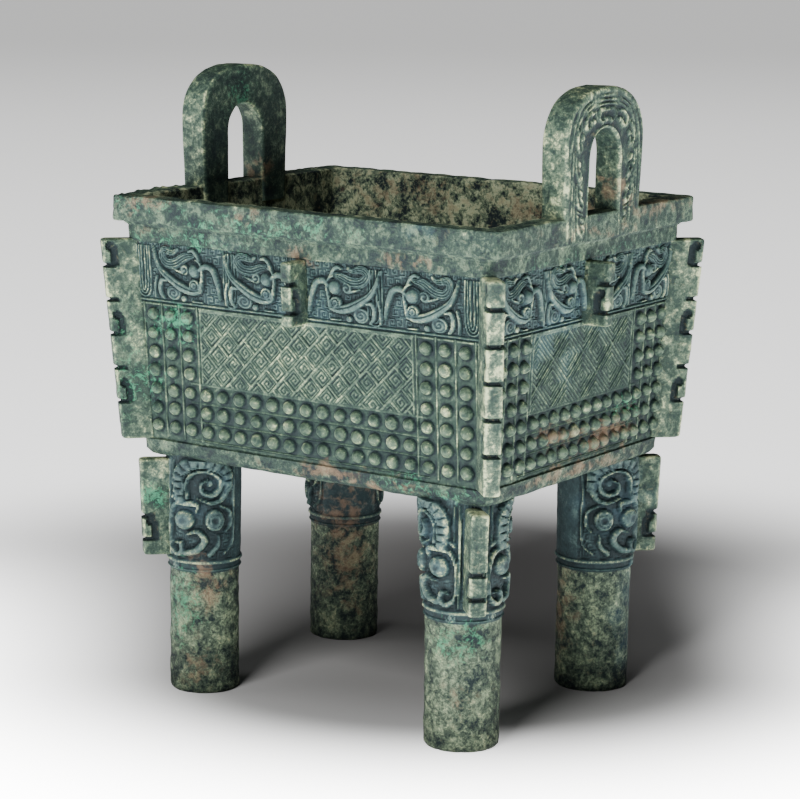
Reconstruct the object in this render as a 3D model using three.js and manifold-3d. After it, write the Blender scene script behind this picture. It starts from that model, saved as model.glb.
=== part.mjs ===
// A cast bronze fangding: a rectangular four-legged ritual food vessel, modelled as one casting.
// Millimetres, +Z up. X runs along the long side, Y along the short side, and the origin is on the
// floor at the middle of the four feet.
//
// The vessel is a hollow box with a flat rim, two upright loop handles on the short sides and four
// round legs. Its raised ornament is in three zones: a band of paired birds, rows of nipples below
// it, and a horned mask on the outer half of each leg. Notched flanges stand on the corners, on
// the middle of each bird band and on the nose of each mask.

import * as THREE from 'three';
import * as BufferGeometryUtils from 'three/addons/utils/BufferGeometryUtils.js';
import Module from 'manifold-3d';

const wasm = await Module();
wasm.setup();

// ---------------------------------------------------------------- driving dimensions

const RIM = { x: 100, y: 82.4, bottom: 212.3, top: 223.5, ease: 0.9 };  // half sizes and heights
const NECK = { x: 94.9, y: 78.7, bottom: 203.6, fillet: 1.8 };
const WALL = {
  bottom: { x: 90.2, y: 71.3, z: 110 },
  top: { x: 94.1, y: 77.9, z: 203.4 },
  thickness: 6,
  corner: 4.5,
};
const BASE = { proud: 0.7, top: 115.2, underside: 107.3, ease: 3 };
const CAVITY = { floor: 113.5, cove: 4, corner: 5 };

const LEG = { x: 69.4, y: 54.65, radius: 16.1, swell: 1.4, ringZ: 58, ringProud: 0.7, top: 110, sides: 16 };
// the four legs were not cast quite alike: the front left one is slimmer, the back right one fuller
const LEGS = [
  { sx: -1, sy: -1, fuller: -0.6 },
  { sx: 1, sy: -1, fuller: 0 },
  { sx: 1, sy: 1, fuller: 0.4 },
  { sx: -1, sy: 1, fuller: 0.2 },
];

const HANDLE = {
  inner: 87.7, outer: 100.4,       // faces across X, at the foot
  foot: 216, shoulder: 251, top: 276.2,
  footHalf: 30.3, shoulderHalf: 31.9,
  openingHalf: 12.5, spring: 246.5, openingTop: 259,
  lean: 0.7,                       // degrees outwards
};

const CORNER_FLANGE = {
  bottom: 114.8, top: 204.5, projectBottom: 9.8, projectTop: 11.8, thickness: 7.4,
  notches: [132, 147.2, 162.4, 177.6, 193], notchDepth: 4, notchWidth: 1.4, ease: 1.3,
};
const MID_FLANGE = {
  bottom: 175.5, top: 203.2, projectBottom: 11.8, projectTop: 11.8, thickness: 5.4,
  notches: [181.5, 194], notchDepth: 4, notchWidth: 1.6, ease: 1.3,
};
const LEG_FLANGE = {
  bottom: 62, top: 106, projectBottom: 27.7, projectTop: 29.3, thickness: 7.6,
  notches: [69.5, 80.2], notchDepth: 5, notchWidth: 1.5, ease: 2.6,
};

const NIPPLE = { radius: 3.3, height: 3.2, sides: 5, lowRow: 121.6, pitch: 8.4, lowRows: 3, rows: 7 };
// per wall: the side columns, and how many nipples the low rows hold between them
const NIPPLE_COLUMNS = {
  long: { columns: [62.1, 71.6, 81.3], between: 13 },
  short: { columns: [48.1, 57.2, 66.3], between: 10 },
};

const BIRD = { z: 193.2, eyeRadius: 3, eyeHeight: 3.2, eyes: { long: [17.7, 56.4], short: [14.8, 50] } };
const BIRD_PITCH = BIRD.eyes.long[1] - BIRD.eyes.long[0];
const SINK = 1.6;                   // how far a relief's root goes into the surface behind it

// ---------------------------------------------------------------- solids and small helpers

function toSolid(geometry) {
  let plain = geometry.clone();
  plain.deleteAttribute('normal');
  plain.deleteAttribute('uv');
  plain = BufferGeometryUtils.mergeVertices(plain, 1e-4);
  const positions = plain.attributes.position.array;
  const index = Uint32Array.from(plain.index.array);
  let volume = 0;
  const corner = new THREE.Vector3();
  const edge = new THREE.Vector3();
  const last = new THREE.Vector3();
  for (let i = 0; i < index.length; i += 3) {
    corner.fromArray(positions, index[i] * 3);
    edge.fromArray(positions, index[i + 1] * 3);
    last.fromArray(positions, index[i + 2] * 3);
    volume += corner.dot(edge.cross(last));
  }
  if (volume < 0) {                 // a mirrored shape: turn its faces outwards again
    for (let i = 0; i < index.length; i += 3) {
      [index[i], index[i + 1]] = [index[i + 1], index[i]];
    }
  }
  return new wasm.Manifold(new wasm.Mesh({
    numProp: 3, vertProperties: Float32Array.from(positions), triVerts: index,
  }));
}

function fromSolid(solid) {
  const mesh = solid.getMesh();
  const geometry = new THREE.BufferGeometry();
  geometry.setAttribute('position', new THREE.BufferAttribute(mesh.vertProperties, 3));
  geometry.setIndex(new THREE.BufferAttribute(mesh.triVerts, 1));
  geometry.computeVertexNormals();
  return geometry;
}

function joinAll(geometries) {
  return wasm.Manifold.union(geometries.map(toSolid));
}

// Skins a stack of closed rings, each a list of points with the same count, and caps both ends.
function loft(rings) {
  const count = rings[0].length;
  const positions = rings.flat().flatMap((p) => [p.x, p.y, p.z]);
  const index = [];
  for (let r = 0; r + 1 < rings.length; r++) {
    for (let i = 0; i < count; i++) {
      const a = r * count + i;
      const b = r * count + (i + 1) % count;
      index.push(a, b, b + count, a, b + count, a + count);
    }
  }
  const lastRing = (rings.length - 1) * count;
  for (let i = 1; i + 1 < count; i++) {
    index.push(0, i + 1, i);
    index.push(lastRing, lastRing + i, lastRing + i + 1);
  }
  const geometry = new THREE.BufferGeometry();
  geometry.setAttribute('position', new THREE.Float32BufferAttribute(positions, 3));
  geometry.setIndex(index);
  return geometry;
}

// A rectangle of half sizes x and y with rounded corners, at height z.
function roundedRing(x, y, radius, z, steps = 2) {
  const ring = [];
  const quarters = [[1, 1], [-1, 1], [-1, -1], [1, -1]];
  quarters.forEach(([sx, sy], quarter) => {
    for (let i = 0; i <= steps; i++) {
      const angle = (quarter + i / steps) * Math.PI / 2;
      ring.push(new THREE.Vector3(
        sx * (x - radius) + radius * Math.cos(angle),
        sy * (y - radius) + radius * Math.sin(angle),
        z,
      ));
    }
  });
  return ring;
}

// A ridge that follows a smooth path of [u, v] points on a surface. Its width at the surface runs
// through the listed widths, and its root lies SINK below. Axes: u along, v up, w outwards.
function strip({ path, widths, height, steps }) {
  const curve = new THREE.CatmullRomCurve3(path.map(([u, v]) => new THREE.Vector3(u, v, 0)));
  const root = 1 + SINK / height;   // the ridge's flanks run on down to its root
  const rings = [];
  for (let i = 0; i <= steps; i++) {
    const t = i / steps;
    const at = curve.getPoint(t);
    const along = curve.getTangent(t);
    const place = t * (widths.length - 1);
    const before = Math.min(Math.floor(place), widths.length - 2);
    const half = THREE.MathUtils.lerp(widths[before], widths[before + 1], place - before) / 2;
    const side = new THREE.Vector3(along.y, -along.x, 0);
    const point = (offset, w) => at.clone().addScaledVector(side, offset).setZ(w);
    rings.push([point(-root * half, -SINK), point(root * half, -SINK), point(0, height)]);
  }
  return loft(rings);
}

// A low pointed boss with its root below the surface, in the same axes as strip().
function boss({ u, v, radius, height, sides, squash = 1 }) {
  const grow = 1 + SINK / height;
  const geometry = new THREE.ConeGeometry(radius * grow, height + SINK, sides);
  geometry.rotateX(Math.PI / 2);
  geometry.scale(squash, 1, 1);
  geometry.translate(u, v, (height - SINK) / 2);
  return geometry;
}

// A broad boss with a flat crown.
function dome({ u, v, radius, height, sides, squash = 1 }) {
  const rings = [[radius * 1.1, -SINK], [radius * 0.62, height]].map(([r, w]) => {
    const ring = [];
    for (let i = 0; i < sides; i++) {
      const angle = i / sides * 2 * Math.PI;
      ring.push(new THREE.Vector3(u + squash * r * Math.cos(angle), v + r * Math.sin(angle), w));
    }
    return ring;
  });
  return loft(rings);
}

// An upright plate with rounded outer corners and a row of slits cut in from its outer edge.
// The outline lies in the plane of r (outwards) and z, and the plate is centred on that plane.
function flangePlate({ bottom, top, projectBottom, projectTop, thickness, notches, notchDepth,
  notchWidth, ease }, root) {
  const edge = (z) => THREE.MathUtils.mapLinear(z, bottom, top, projectBottom, projectTop);
  const outline = new THREE.Shape();
  outline.moveTo(root, bottom);
  outline.lineTo(edge(bottom) - ease, bottom);
  outline.lineTo(edge(bottom + ease), bottom + ease);
  for (const z of notches) {
    const low = z - notchWidth / 2;
    const high = z + notchWidth / 2;
    outline.lineTo(edge(low), low);
    outline.lineTo(edge(low) - notchDepth, low);
    outline.lineTo(edge(high) - notchDepth, high);
    outline.lineTo(edge(high), high);
  }
  outline.lineTo(edge(top - ease), top - ease);
  outline.lineTo(edge(top) - ease, top);
  outline.lineTo(root, top);
  const plate = new THREE.ExtrudeGeometry(outline, { depth: thickness, bevelEnabled: false });
  plate.translate(0, 0, -thickness / 2);
  return plate;
}

// ---------------------------------------------------------------- where things go

// Half size of the body at height z along one axis: the walls lean outwards as they rise.
function wallHalf(axis, z) {
  return THREE.MathUtils.mapLinear(z, WALL.bottom.z, WALL.top.z, WALL.bottom[axis], WALL.top[axis]);
}

// From a wall's own axes (u along, v up, w outwards) to the vessel. Sides are numbered from the
// front long side, -Y, turning towards +X.
function wallMatrix(side) {
  const axis = side % 2 === 0 ? 'y' : 'x';
  const atFloor = wallHalf(axis, 0);
  const slope = wallHalf(axis, 1) - atFloor;
  const lean = new THREE.Matrix4().set(
    1, 0, 0, 0,
    0, -slope, -1, -atFloor,
    0, 1, 0, 0,
    0, 0, 0, 1,
  );
  return new THREE.Matrix4().makeRotationZ(side * Math.PI / 2).multiply(lean);
}

// Bends a flat relief, in the axes of strip(), around an upright leg whose middle faces -Y.
function wrapAroundLeg(geometry, fuller) {
  const position = geometry.attributes.position;
  for (let i = 0; i < position.count; i++) {
    const radius = shoulderRadius(position.getY(i)) + fuller;
    const angle = position.getX(i) / radius;
    const reach = radius + position.getZ(i);
    position.setXYZ(i, reach * Math.sin(angle), -reach * Math.cos(angle), position.getY(i));
  }
  return geometry;
}

// The leg swells evenly from the ring under its mask to its top.
function shoulderRadius(z) {
  return THREE.MathUtils.mapLinear(z, LEG.ringZ, LEG.top, LEG.radius + LEG.ringProud, LEG.radius + LEG.swell);
}

// ---------------------------------------------------------------- body

function bodyShell() {
  const radius = WALL.corner;
  const wallRing = (z, proud = 0) => (
    roundedRing(wallHalf('x', z) + proud, wallHalf('y', z) + proud, radius, z)
  );
  const rimRing = (inset, z) => roundedRing(RIM.x - inset, RIM.y - inset, radius - 1, z);
  const neckRing = (proud, z) => roundedRing(NECK.x + proud, NECK.y + proud, radius, z);
  const outside = loft([
    wallRing(BASE.underside, -BASE.ease),
    wallRing(BASE.underside + 0.3 * BASE.ease, -0.3 * BASE.ease),
    wallRing(BASE.underside + BASE.ease, BASE.proud),
    wallRing(BASE.top, BASE.proud),
    wallRing(BASE.top + BASE.proud),
    wallRing(WALL.top.z),
    neckRing(0, NECK.bottom),
    neckRing(0, RIM.bottom - NECK.fillet),
    neckRing(NECK.fillet, RIM.bottom),
    rimRing(RIM.ease, RIM.bottom),
    rimRing(0, RIM.bottom + RIM.ease),
    rimRing(0, RIM.top - RIM.ease),
    rimRing(RIM.ease, RIM.top),
  ]);
  const above = RIM.top + 5;
  const inner = (z, inset) => (
    roundedRing(wallHalf('x', z) - inset, wallHalf('y', z) - inset, CAVITY.corner, z)
  );
  const cavity = loft([
    inner(CAVITY.floor, WALL.thickness + CAVITY.cove),
    inner(CAVITY.floor + 0.3 * CAVITY.cove, WALL.thickness + 0.3 * CAVITY.cove),
    inner(CAVITY.floor + CAVITY.cove, WALL.thickness),
    inner(above, WALL.thickness),
  ]);
  return toSolid(outside).subtract(toSolid(cavity));
}

// ---------------------------------------------------------------- handles

// One loop handle in the Y-Z plane: straight posts, full shoulders and a flattened round top.
function handle() {
  const { foot, shoulder, top, footHalf, shoulderHalf, openingHalf, spring, openingTop } = HANDLE;
  const outerSteps = 10;
  const innerSteps = 6;
  const fullness = 2.5;             // 2 is an ellipse, more is squarer
  const outline = new THREE.Shape();
  outline.moveTo(footHalf, foot);
  for (let i = 0; i <= outerSteps; i++) {
    const angle = Math.PI * i / outerSteps;
    const across = Math.sign(Math.cos(angle)) * Math.abs(Math.cos(angle)) ** (2 / fullness);
    const rise = Math.sin(angle) ** (2 / fullness);
    outline.lineTo(shoulderHalf * across, shoulder + (top - shoulder) * rise);
  }
  outline.lineTo(-footHalf, foot);
  outline.lineTo(-openingHalf, foot);
  for (let i = 0; i <= innerSteps; i++) {
    const angle = Math.PI * (1 - i / innerSteps);
    outline.lineTo(openingHalf * Math.cos(angle), spring + (openingTop - spring) * Math.sin(angle));
  }
  outline.lineTo(openingHalf, foot);
  const loop = new THREE.ExtrudeGeometry(outline, {
    depth: HANDLE.outer - HANDLE.inner, bevelEnabled: false,
  });
  loop.applyMatrix4(new THREE.Matrix4().makeBasis(
    new THREE.Vector3(0, 1, 0), new THREE.Vector3(0, 0, 1), new THREE.Vector3(1, 0, 0),
  ));
  loop.translate(HANDLE.inner, 0, -foot);
  const lean = Math.tan(THREE.MathUtils.degToRad(HANDLE.lean));
  loop.applyMatrix4(new THREE.Matrix4().set(1, 0, lean, 0, 0, 1, 0, 0, 0, 0, 1, foot, 0, 0, 0, 1));
  return loop;
}

function handles() {
  return [0, Math.PI].map((turn) => handle().rotateZ(turn));
}

// ---------------------------------------------------------------- flanges

function cornerFlanges() {
  const flanges = [];
  const slopeX = wallHalf('x', 1) - wallHalf('x', 0);
  const slopeY = wallHalf('y', 1) - wallHalf('y', 0);
  const diagonal = Math.SQRT1_2;
  for (const sx of [-1, 1]) {
    for (const sy of [-1, 1]) {
      const plate = flangePlate(CORNER_FLANGE, -4);
      plate.applyMatrix4(new THREE.Matrix4().set(
        sx * diagonal, sx * slopeX, sx * diagonal, sx * wallHalf('x', 0),
        sy * diagonal, sy * slopeY, -sy * diagonal, sy * wallHalf('y', 0),
        0, 1, 0, 0,
        0, 0, 0, 1,
      ));
      flanges.push(plate);
    }
  }
  return flanges;
}

// A flange plate turned so that r points along w and z along v, for a wall or a leg.
function uprightFlange(flange, root) {
  const plate = flangePlate(flange, root);
  plate.applyMatrix4(new THREE.Matrix4().makeBasis(
    new THREE.Vector3(0, 0, 1), new THREE.Vector3(0, 1, 0), new THREE.Vector3(-1, 0, 0),
  ));
  return plate;
}

// ---------------------------------------------------------------- wall ornament

// One bird in profile, facing +u: an eye, a hooked beak, a swept wing and a dropped tail.
// Offsets are from the eye, and stretch fits the bird to the pitch of its wall.
function bird(u, facing, stretch) {
  const at = ([du, dv]) => [u + facing * stretch * du, BIRD.z + dv];
  const place = (points) => points.map(at);
  return [
    dome({ u, v: BIRD.z, radius: BIRD.eyeRadius, height: BIRD.eyeHeight, sides: 6 }),
    strip({ path: place([[2.5, 3], [8, 1.6], [12, -4], [13.4, -11]]), widths: [3.4, 4, 3.4, 1.6],
      height: 2.2, steps: 2 }),
    strip({ path: place([[1.5, -10.5], [-6, -8.6], [-13.5, -3.5], [-18, 3], [-20.6, 9]]),
      widths: [4, 5, 4.2, 2.8, 0.9], height: 2.3, steps: 3 }),
    strip({ path: place([[-17, -3.2], [-20.6, -5], [-21, -13.5]]), widths: [2.6, 2.6, 2.4],
      height: 1.8, steps: 1 }),
  ];
}

function nipple(u, v) {
  return boss({ u, v, radius: NIPPLE.radius, height: NIPPLE.height, sides: NIPPLE.sides });
}

function nippleRows({ columns, between }) {
  const nipples = [];
  for (let row = 0; row < NIPPLE.rows; row++) {
    const z = NIPPLE.lowRow + row * NIPPLE.pitch;
    for (const column of columns) {
      nipples.push(nipple(-column, z), nipple(column, z));
    }
    if (row < NIPPLE.lowRows) {
      const pitch = 2 * columns[0] / (between + 1);
      for (let i = 1; i <= between; i++) {
        nipples.push(nipple(-columns[0] + i * pitch, z));
      }
    }
  }
  return nipples;
}

function wallOrnament(side) {
  const kind = side % 2 === 0 ? 'long' : 'short';
  const eyes = BIRD.eyes[kind];
  const stretch = (eyes[1] - eyes[0]) / BIRD_PITCH;
  const birds = eyes.flatMap((u) => [...bird(-u, 1, stretch), ...bird(u, -1, stretch)]);
  const relief = [...birds, ...nippleRows(NIPPLE_COLUMNS[kind]), uprightFlange(MID_FLANGE, -3)];
  const matrix = wallMatrix(side);
  return relief.map((piece) => piece.applyMatrix4(matrix));
}

// ---------------------------------------------------------------- legs and masks

function leg(fuller) {
  const { ringZ, top, sides } = LEG;
  const foot = LEG.radius + fuller;
  const profile = [[0, 0], [foot, 0], [foot, ringZ - 1], [shoulderRadius(ringZ) + fuller, ringZ],
    [shoulderRadius(top) + fuller, top], [0, top]].map(([r, z]) => new THREE.Vector2(r, z));
  return new THREE.LatheGeometry(profile, sides).rotateX(Math.PI / 2);
}

// Half of the horned mask, on the side of the nose that facing points to: a coiled horn, a brow
// that drops beside the nose, an eye and an ear.
function halfMask(facing) {
  const place = (points) => points.map(([u, v]) => [facing * u, v]);
  return [
    strip({ path: place([[13.5, 90.5], [12.5, 99], [17, 105.8], [25, 106.8], [33, 102], [34, 95],
      [28.5, 91.4], [22.6, 94.5], [24.5, 100.5]]),
    widths: [4.4, 5.4, 5.6, 5.4, 5, 4.6, 4, 3.2, 2.2], height: 3.6, steps: 7 }),
    strip({ path: place([[6.6, 68], [6.6, 82], [10, 87.8], [20.5, 87.6]]), widths: [1.8, 2, 2, 2.8],
      height: 2, steps: 3 }),
    dome({ u: facing * 14.8, v: 80.4, radius: 4.3, height: 3.3, sides: 6 }),
    dome({ u: facing * 28, v: 80.6, radius: 4.8, height: 3.2, sides: 5, squash: 0.9 }),
  ];
}

function maskedLeg({ sx, sy, fuller }) {
  const relief = [...halfMask(-1), ...halfMask(1)].map((piece) => wrapAroundLeg(piece, fuller));
  const nose = uprightFlange(LEG_FLANGE, 12);
  nose.applyMatrix4(new THREE.Matrix4().set(1, 0, 0, 0, 0, 0, -1, 0, 0, 1, 0, 0, 0, 0, 0, 1));
  const outwards = Math.atan2(sx, -sy);
  return [leg(fuller), nose, ...relief].map((piece) => (
    piece.rotateZ(outwards).translate(sx * LEG.x, sy * LEG.y, 0)
  ));
}

// ---------------------------------------------------------------- the vessel

function vessel() {
  const added = [...handles(), ...cornerFlanges()];
  for (let side = 0; side < 4; side++) {
    added.push(...wallOrnament(side));
  }
  for (const place of LEGS) {
    added.push(...maskedLeg(place));
  }
  const bronze = new THREE.MeshStandardMaterial({ color: 0x5f7568, roughness: 0.62, metalness: 0.35 });
  const mesh = new THREE.Mesh(fromSolid(bodyShell().add(joinAll(added))), bronze);
  mesh.name = 'vessel';
  return mesh;
}

const fangding = new THREE.Group();
fangding.add(vessel());

export default fangding;
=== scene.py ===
"""A cast bronze fangding with bird bands, nipple rows, masks and notched flanges, in an aged patina.

Sizes in the property groups are metres. The relief is drawn in millimetres over each surface:
u runs along the surface, v (or z) runs up it, and heights stand out from it.
"""

import math

import bpy
import numpy as np
from bpy.props import FloatProperty, FloatVectorProperty, PointerProperty
from mathutils import Matrix, Vector


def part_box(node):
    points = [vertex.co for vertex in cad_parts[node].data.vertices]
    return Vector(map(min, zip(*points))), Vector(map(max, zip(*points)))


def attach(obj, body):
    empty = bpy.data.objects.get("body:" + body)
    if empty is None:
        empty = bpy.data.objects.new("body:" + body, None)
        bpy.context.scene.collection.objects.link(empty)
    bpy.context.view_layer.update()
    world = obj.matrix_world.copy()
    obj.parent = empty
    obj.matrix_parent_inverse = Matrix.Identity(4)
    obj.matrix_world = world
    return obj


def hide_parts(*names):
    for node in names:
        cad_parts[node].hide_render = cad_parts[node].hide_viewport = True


bl_info = {
    "name": "Bronze fangding",
    "version": (1, 0, 0),
    "blender": (4, 5, 0),
    "location": "View3D > Sidebar > Fangding",
    "description": "Builds a relief-cast bronze ritual vessel around its packed frame",
    "category": "Add Mesh",
}

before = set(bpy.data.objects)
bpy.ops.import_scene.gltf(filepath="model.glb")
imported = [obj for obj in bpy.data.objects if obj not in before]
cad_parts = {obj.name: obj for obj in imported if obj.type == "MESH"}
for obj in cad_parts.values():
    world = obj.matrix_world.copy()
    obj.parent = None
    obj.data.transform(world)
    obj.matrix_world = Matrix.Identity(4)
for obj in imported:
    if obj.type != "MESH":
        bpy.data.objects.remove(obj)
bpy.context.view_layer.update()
BODY = "root"
NODE = "vessel"
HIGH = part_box(NODE)[1]
MM = 0.001
SIDES = ("front", "right", "back", "left")
CORNERS = {"front_left": (-1, -1), "front_right": (1, -1), "back_right": (1, 1), "back_left": (-1, 1)}


# ------------------------------------------------------------ settings

def length(name, description, default):
    return FloatProperty(name=name, description=description, default=default, unit="LENGTH", precision=4)


def tint(name, description, default):
    return FloatVectorProperty(name=name, description=description, default=default, size=3,
                               min=0.0, max=1.0, subtype="COLOR")


def power(name, description, default):
    return FloatProperty(name=name, description=description, default=default, unit="POWER")


class FangdingBodySizes(bpy.types.PropertyGroup):
    rim_x: length("Rim half length", "Half the length of the flat rim", 0.1)
    rim_y: length("Rim half width", "Half the width of the flat rim", 0.0824)
    rim_bottom: length("Rim underside", "Height of the rim's underside", 0.2123)
    rim_top: length("Rim top", "Height of the rim's flat top", 0.2235)
    neck_x: length("Neck half length", "Half the length of the neck", 0.0949)
    neck_y: length("Neck half width", "Half the width of the neck", 0.0787)
    neck_bottom: length("Neck foot", "Height at which the neck meets the bird band", 0.2036)
    wall_low_x: length("Wall half length, low", "Half the body's length at the low level", 0.0902)
    wall_low_y: length("Wall half width, low", "Half the body's width at the low level", 0.0713)
    wall_low_z: length("Low level", "Height at which the low half sizes are taken", 0.11)
    wall_high_x: length("Wall half length, high", "Half the body's length at the high level", 0.0941)
    wall_high_y: length("Wall half width, high", "Half the body's width at the high level", 0.0779)
    wall_high_z: length("High level", "Height at which the high half sizes are taken", 0.2034)
    wall_thickness: length("Wall thickness", "Thickness of the cast walls", 0.006)
    base_top: length("Base strip top", "Top of the plain strip round the foot of the walls", 0.1152)
    underside: length("Underside", "Height of the body's flat underside", 0.1073)
    floor: length("Inner floor", "Height of the floor inside the body", 0.1135)
    corner: length("Corner radius", "Rounding of the body's upright corners", 0.0045)


class FangdingLegSizes(bpy.types.PropertyGroup):
    x: length("Leg place along", "Distance of each leg's axis from the middle, along the body", 0.0694)
    y: length("Leg place across", "Distance of each leg's axis from the middle, across the body", 0.05465)
    radius: length("Leg radius", "Radius of the plain lower leg", 0.0161)
    swell: length("Swell", "How much wider the leg is under the body", 0.0014)
    ring: length("Ring height", "Height of the ring below the mask", 0.058)
    ring_proud: length("Ring relief", "How far the ring stands out", 0.0007)
    top: length("Leg top", "Height at which the leg goes into the body", 0.11)


class FangdingHandleSizes(bpy.types.PropertyGroup):
    inner: length("Inner face", "Distance of the handle's inner face from the middle", 0.0877)
    outer: length("Outer face", "Distance of the handle's outer face from the middle", 0.1004)
    foot: length("Foot", "Height at which the handle's posts start", 0.216)
    shoulder: length("Shoulder", "Height at which the outside starts to turn in", 0.251)
    top: length("Top", "Height of the handle's crown", HIGH.z)
    foot_half: length("Half width at the foot", "Half the handle's width at its foot", 0.0303)
    shoulder_half: length("Half width at the shoulder", "Half the handle's width at its shoulder", 0.0319)
    opening_half: length("Opening half width", "Half the width of the opening", 0.0125)
    spring: length("Opening spring", "Height at which the opening starts to round over", 0.2465)
    opening_top: length("Opening top", "Height of the top of the opening", 0.259)
    lean: FloatProperty(name="Lean", description="How far each handle leans outwards",
                        default=math.radians(0.7), subtype="ANGLE")


class FangdingOrnamentSizes(bpy.types.PropertyGroup):
    nipple_radius: length("Nipple radius", "Radius of each boss in the nipple rows", 0.0033)
    nipple_rise: length("Nipple height", "How far each nipple stands out", 0.0032)
    nipple_pitch: length("Nipple row pitch", "Height from one nipple row to the next", 0.0084)
    nipple_low: length("Lowest nipple row", "Height of the lowest row of nipples", 0.1216)
    band_foot: length("Band foot", "Height of the bird band's lower line", 0.177)
    panel_low: length("Panel foot", "Height of the fret panel's lower edge", 0.1428)
    panel_high: length("Panel top", "Height of the fret panel's upper edge", 0.1755)
    eye_height: length("Eye height", "Height of the birds' eyes", 0.1932)
    fine_step: length("Fine lattice", "Spacing of the relief lattice on the front and right walls", 0.00038)
    coarse_step: length("Coarse lattice", "Spacing of the relief lattice on the back and left walls", 0.0005)


class FangdingPatinaColours(bpy.types.PropertyGroup):
    groove: tint("Groove", "Blue-black fill of the sunk lines", (0.0018, 0.0055, 0.0065))
    body: tint("Body", "Grey-green of the main surface", (0.0075, 0.017, 0.0125))
    ridge: tint("Ridge", "Paler green of raised lines", (0.031, 0.050, 0.032))
    worn: tint("Worn edge", "Cream-green of rubbed high places", (0.20, 0.225, 0.125))
    oxide: tint("Red oxide", "Brown-red copper oxide", (0.085, 0.052, 0.030))
    malachite: tint("Malachite", "Bright green crust", (0.020, 0.100, 0.055))
    azure: tint("Blue bloom", "Slate-blue film", (0.006, 0.017, 0.026))
    earth: tint("Earth", "Tan earth in the crust", (0.10, 0.082, 0.042))


class FangdingStage(bpy.types.PropertyGroup):
    # painted light on the floor: its colour greys from floor_near to floor_far with depth, a painted falloff of
    # light, and table_glow and backdrop_glow make it glow by its own emission though it is no lamp
    floor_near: tint("Floor", "Pale floor round the vessel", (0.86, 0.86, 0.86))
    floor_far: tint("Backdrop", "Greyer backdrop behind the vessel", (0.60, 0.60, 0.60))
    table_glow: FloatProperty(name="Table glow", description="How brightly the near floor shines", default=13.0)
    backdrop_glow: FloatProperty(name="Backdrop glow", description="How brightly the far floor shines",
                                 default=1.25)
    key_power: power("Key light", "Power of the soft main light", 62.0)
    fill_power: power("Fill light", "Power of the fill light", 9.0)
    top_power: power("Top light", "Power of the overhead light", 6.0)
    room: FloatProperty(name="Room light", description="Strength of the even room light", default=0.05)


def body_sizes():
    return bpy.context.scene.fangding_body


def ornament_sizes():
    return bpy.context.scene.fangding_ornament


# ------------------------------------------------------------ noise and smooth curves

def smooth(low, high, x):
    t = np.clip((x - low) / (high - low), 0.0, 1.0)
    return t * t * (3.0 - 2.0 * t)


def noise(places, seed):
    """Smooth noise from -1 to 1, one cell to each unit of the places (..., 3)."""
    cell = np.floor(places).astype(np.int64)
    t = places - cell
    t = t * t * (3.0 - 2.0 * t)
    total = np.zeros(places.shape[:-1])
    for dx in (0, 1):
        for dy in (0, 1):
            for dz in (0, 1):
                n = ((cell[..., 0] + dx) * 73856093) ^ ((cell[..., 1] + dy) * 19349663) \
                    ^ ((cell[..., 2] + dz) * 83492791) ^ (seed * 668265263)
                n = n & 0xFFFFFFFF
                n = ((n ^ (n >> 15)) * 2246822519) & 0xFFFFFFFF
                n = ((n ^ (n >> 13)) * 3266489917) & 0xFFFFFFFF
                value = ((n ^ (n >> 16)) & 0xFFFF) / 32767.5 - 1.0
                weight = (t[..., 0] if dx else 1 - t[..., 0]) * (t[..., 1] if dy else 1 - t[..., 1]) \
                    * (t[..., 2] if dz else 1 - t[..., 2])
                total += weight * value
    return total


def rough(places, size, octaves, seed):
    """Layered noise at places in millimetres, its largest lumps of the given size."""
    total = np.zeros(places.shape[:-1])
    gain = 1.0
    for octave in range(octaves):
        total += gain * noise(places * (2.0 ** octave / size), seed + 17 * octave)
        gain *= 0.5
    return total


def smooth_path(path, steps=7):
    """A smooth curve through the points of a path, and the share of its length at each of its points."""
    p = np.array(path, float)
    if len(p) > 2:
        ends = np.vstack([2 * p[0] - p[1], p, 2 * p[-1] - p[-2]])
        t = np.arange(steps)[:, None] / steps
        spans = []
        for i in range(len(p) - 1):
            a, b, c, d = ends[i:i + 4]
            spans.append(0.5 * ((2 * b) + (c - a) * t + (2 * a - 5 * b + 4 * c - d) * t ** 2
                                + (3 * b - a - 3 * c + d) * t ** 3))
        p = np.vstack(spans + [p[-1:]])
    run = np.concatenate([[0.0], np.cumsum(np.hypot(*np.diff(p, axis=0).T))])
    return p, run / run[-1], run[-1]


def blur(field, cells):
    """A lattice averaged over a square of 2 cells + 1 a side, done twice."""
    for _ in range(2):
        for axis in (0, 1):
            padded = np.concatenate([np.repeat(field.take([0], axis), cells + 1, axis), field,
                                     np.repeat(field.take([-1], axis), cells, axis)], axis)
            total = np.cumsum(padded, axis)
            size = field.shape[axis]
            field = (total.take(range(2 * cells + 1, 2 * cells + 1 + size), axis)
                     - total.take(range(size), axis)) / (2 * cells + 1)
    return field


# ------------------------------------------------------------ relief drawing

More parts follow.
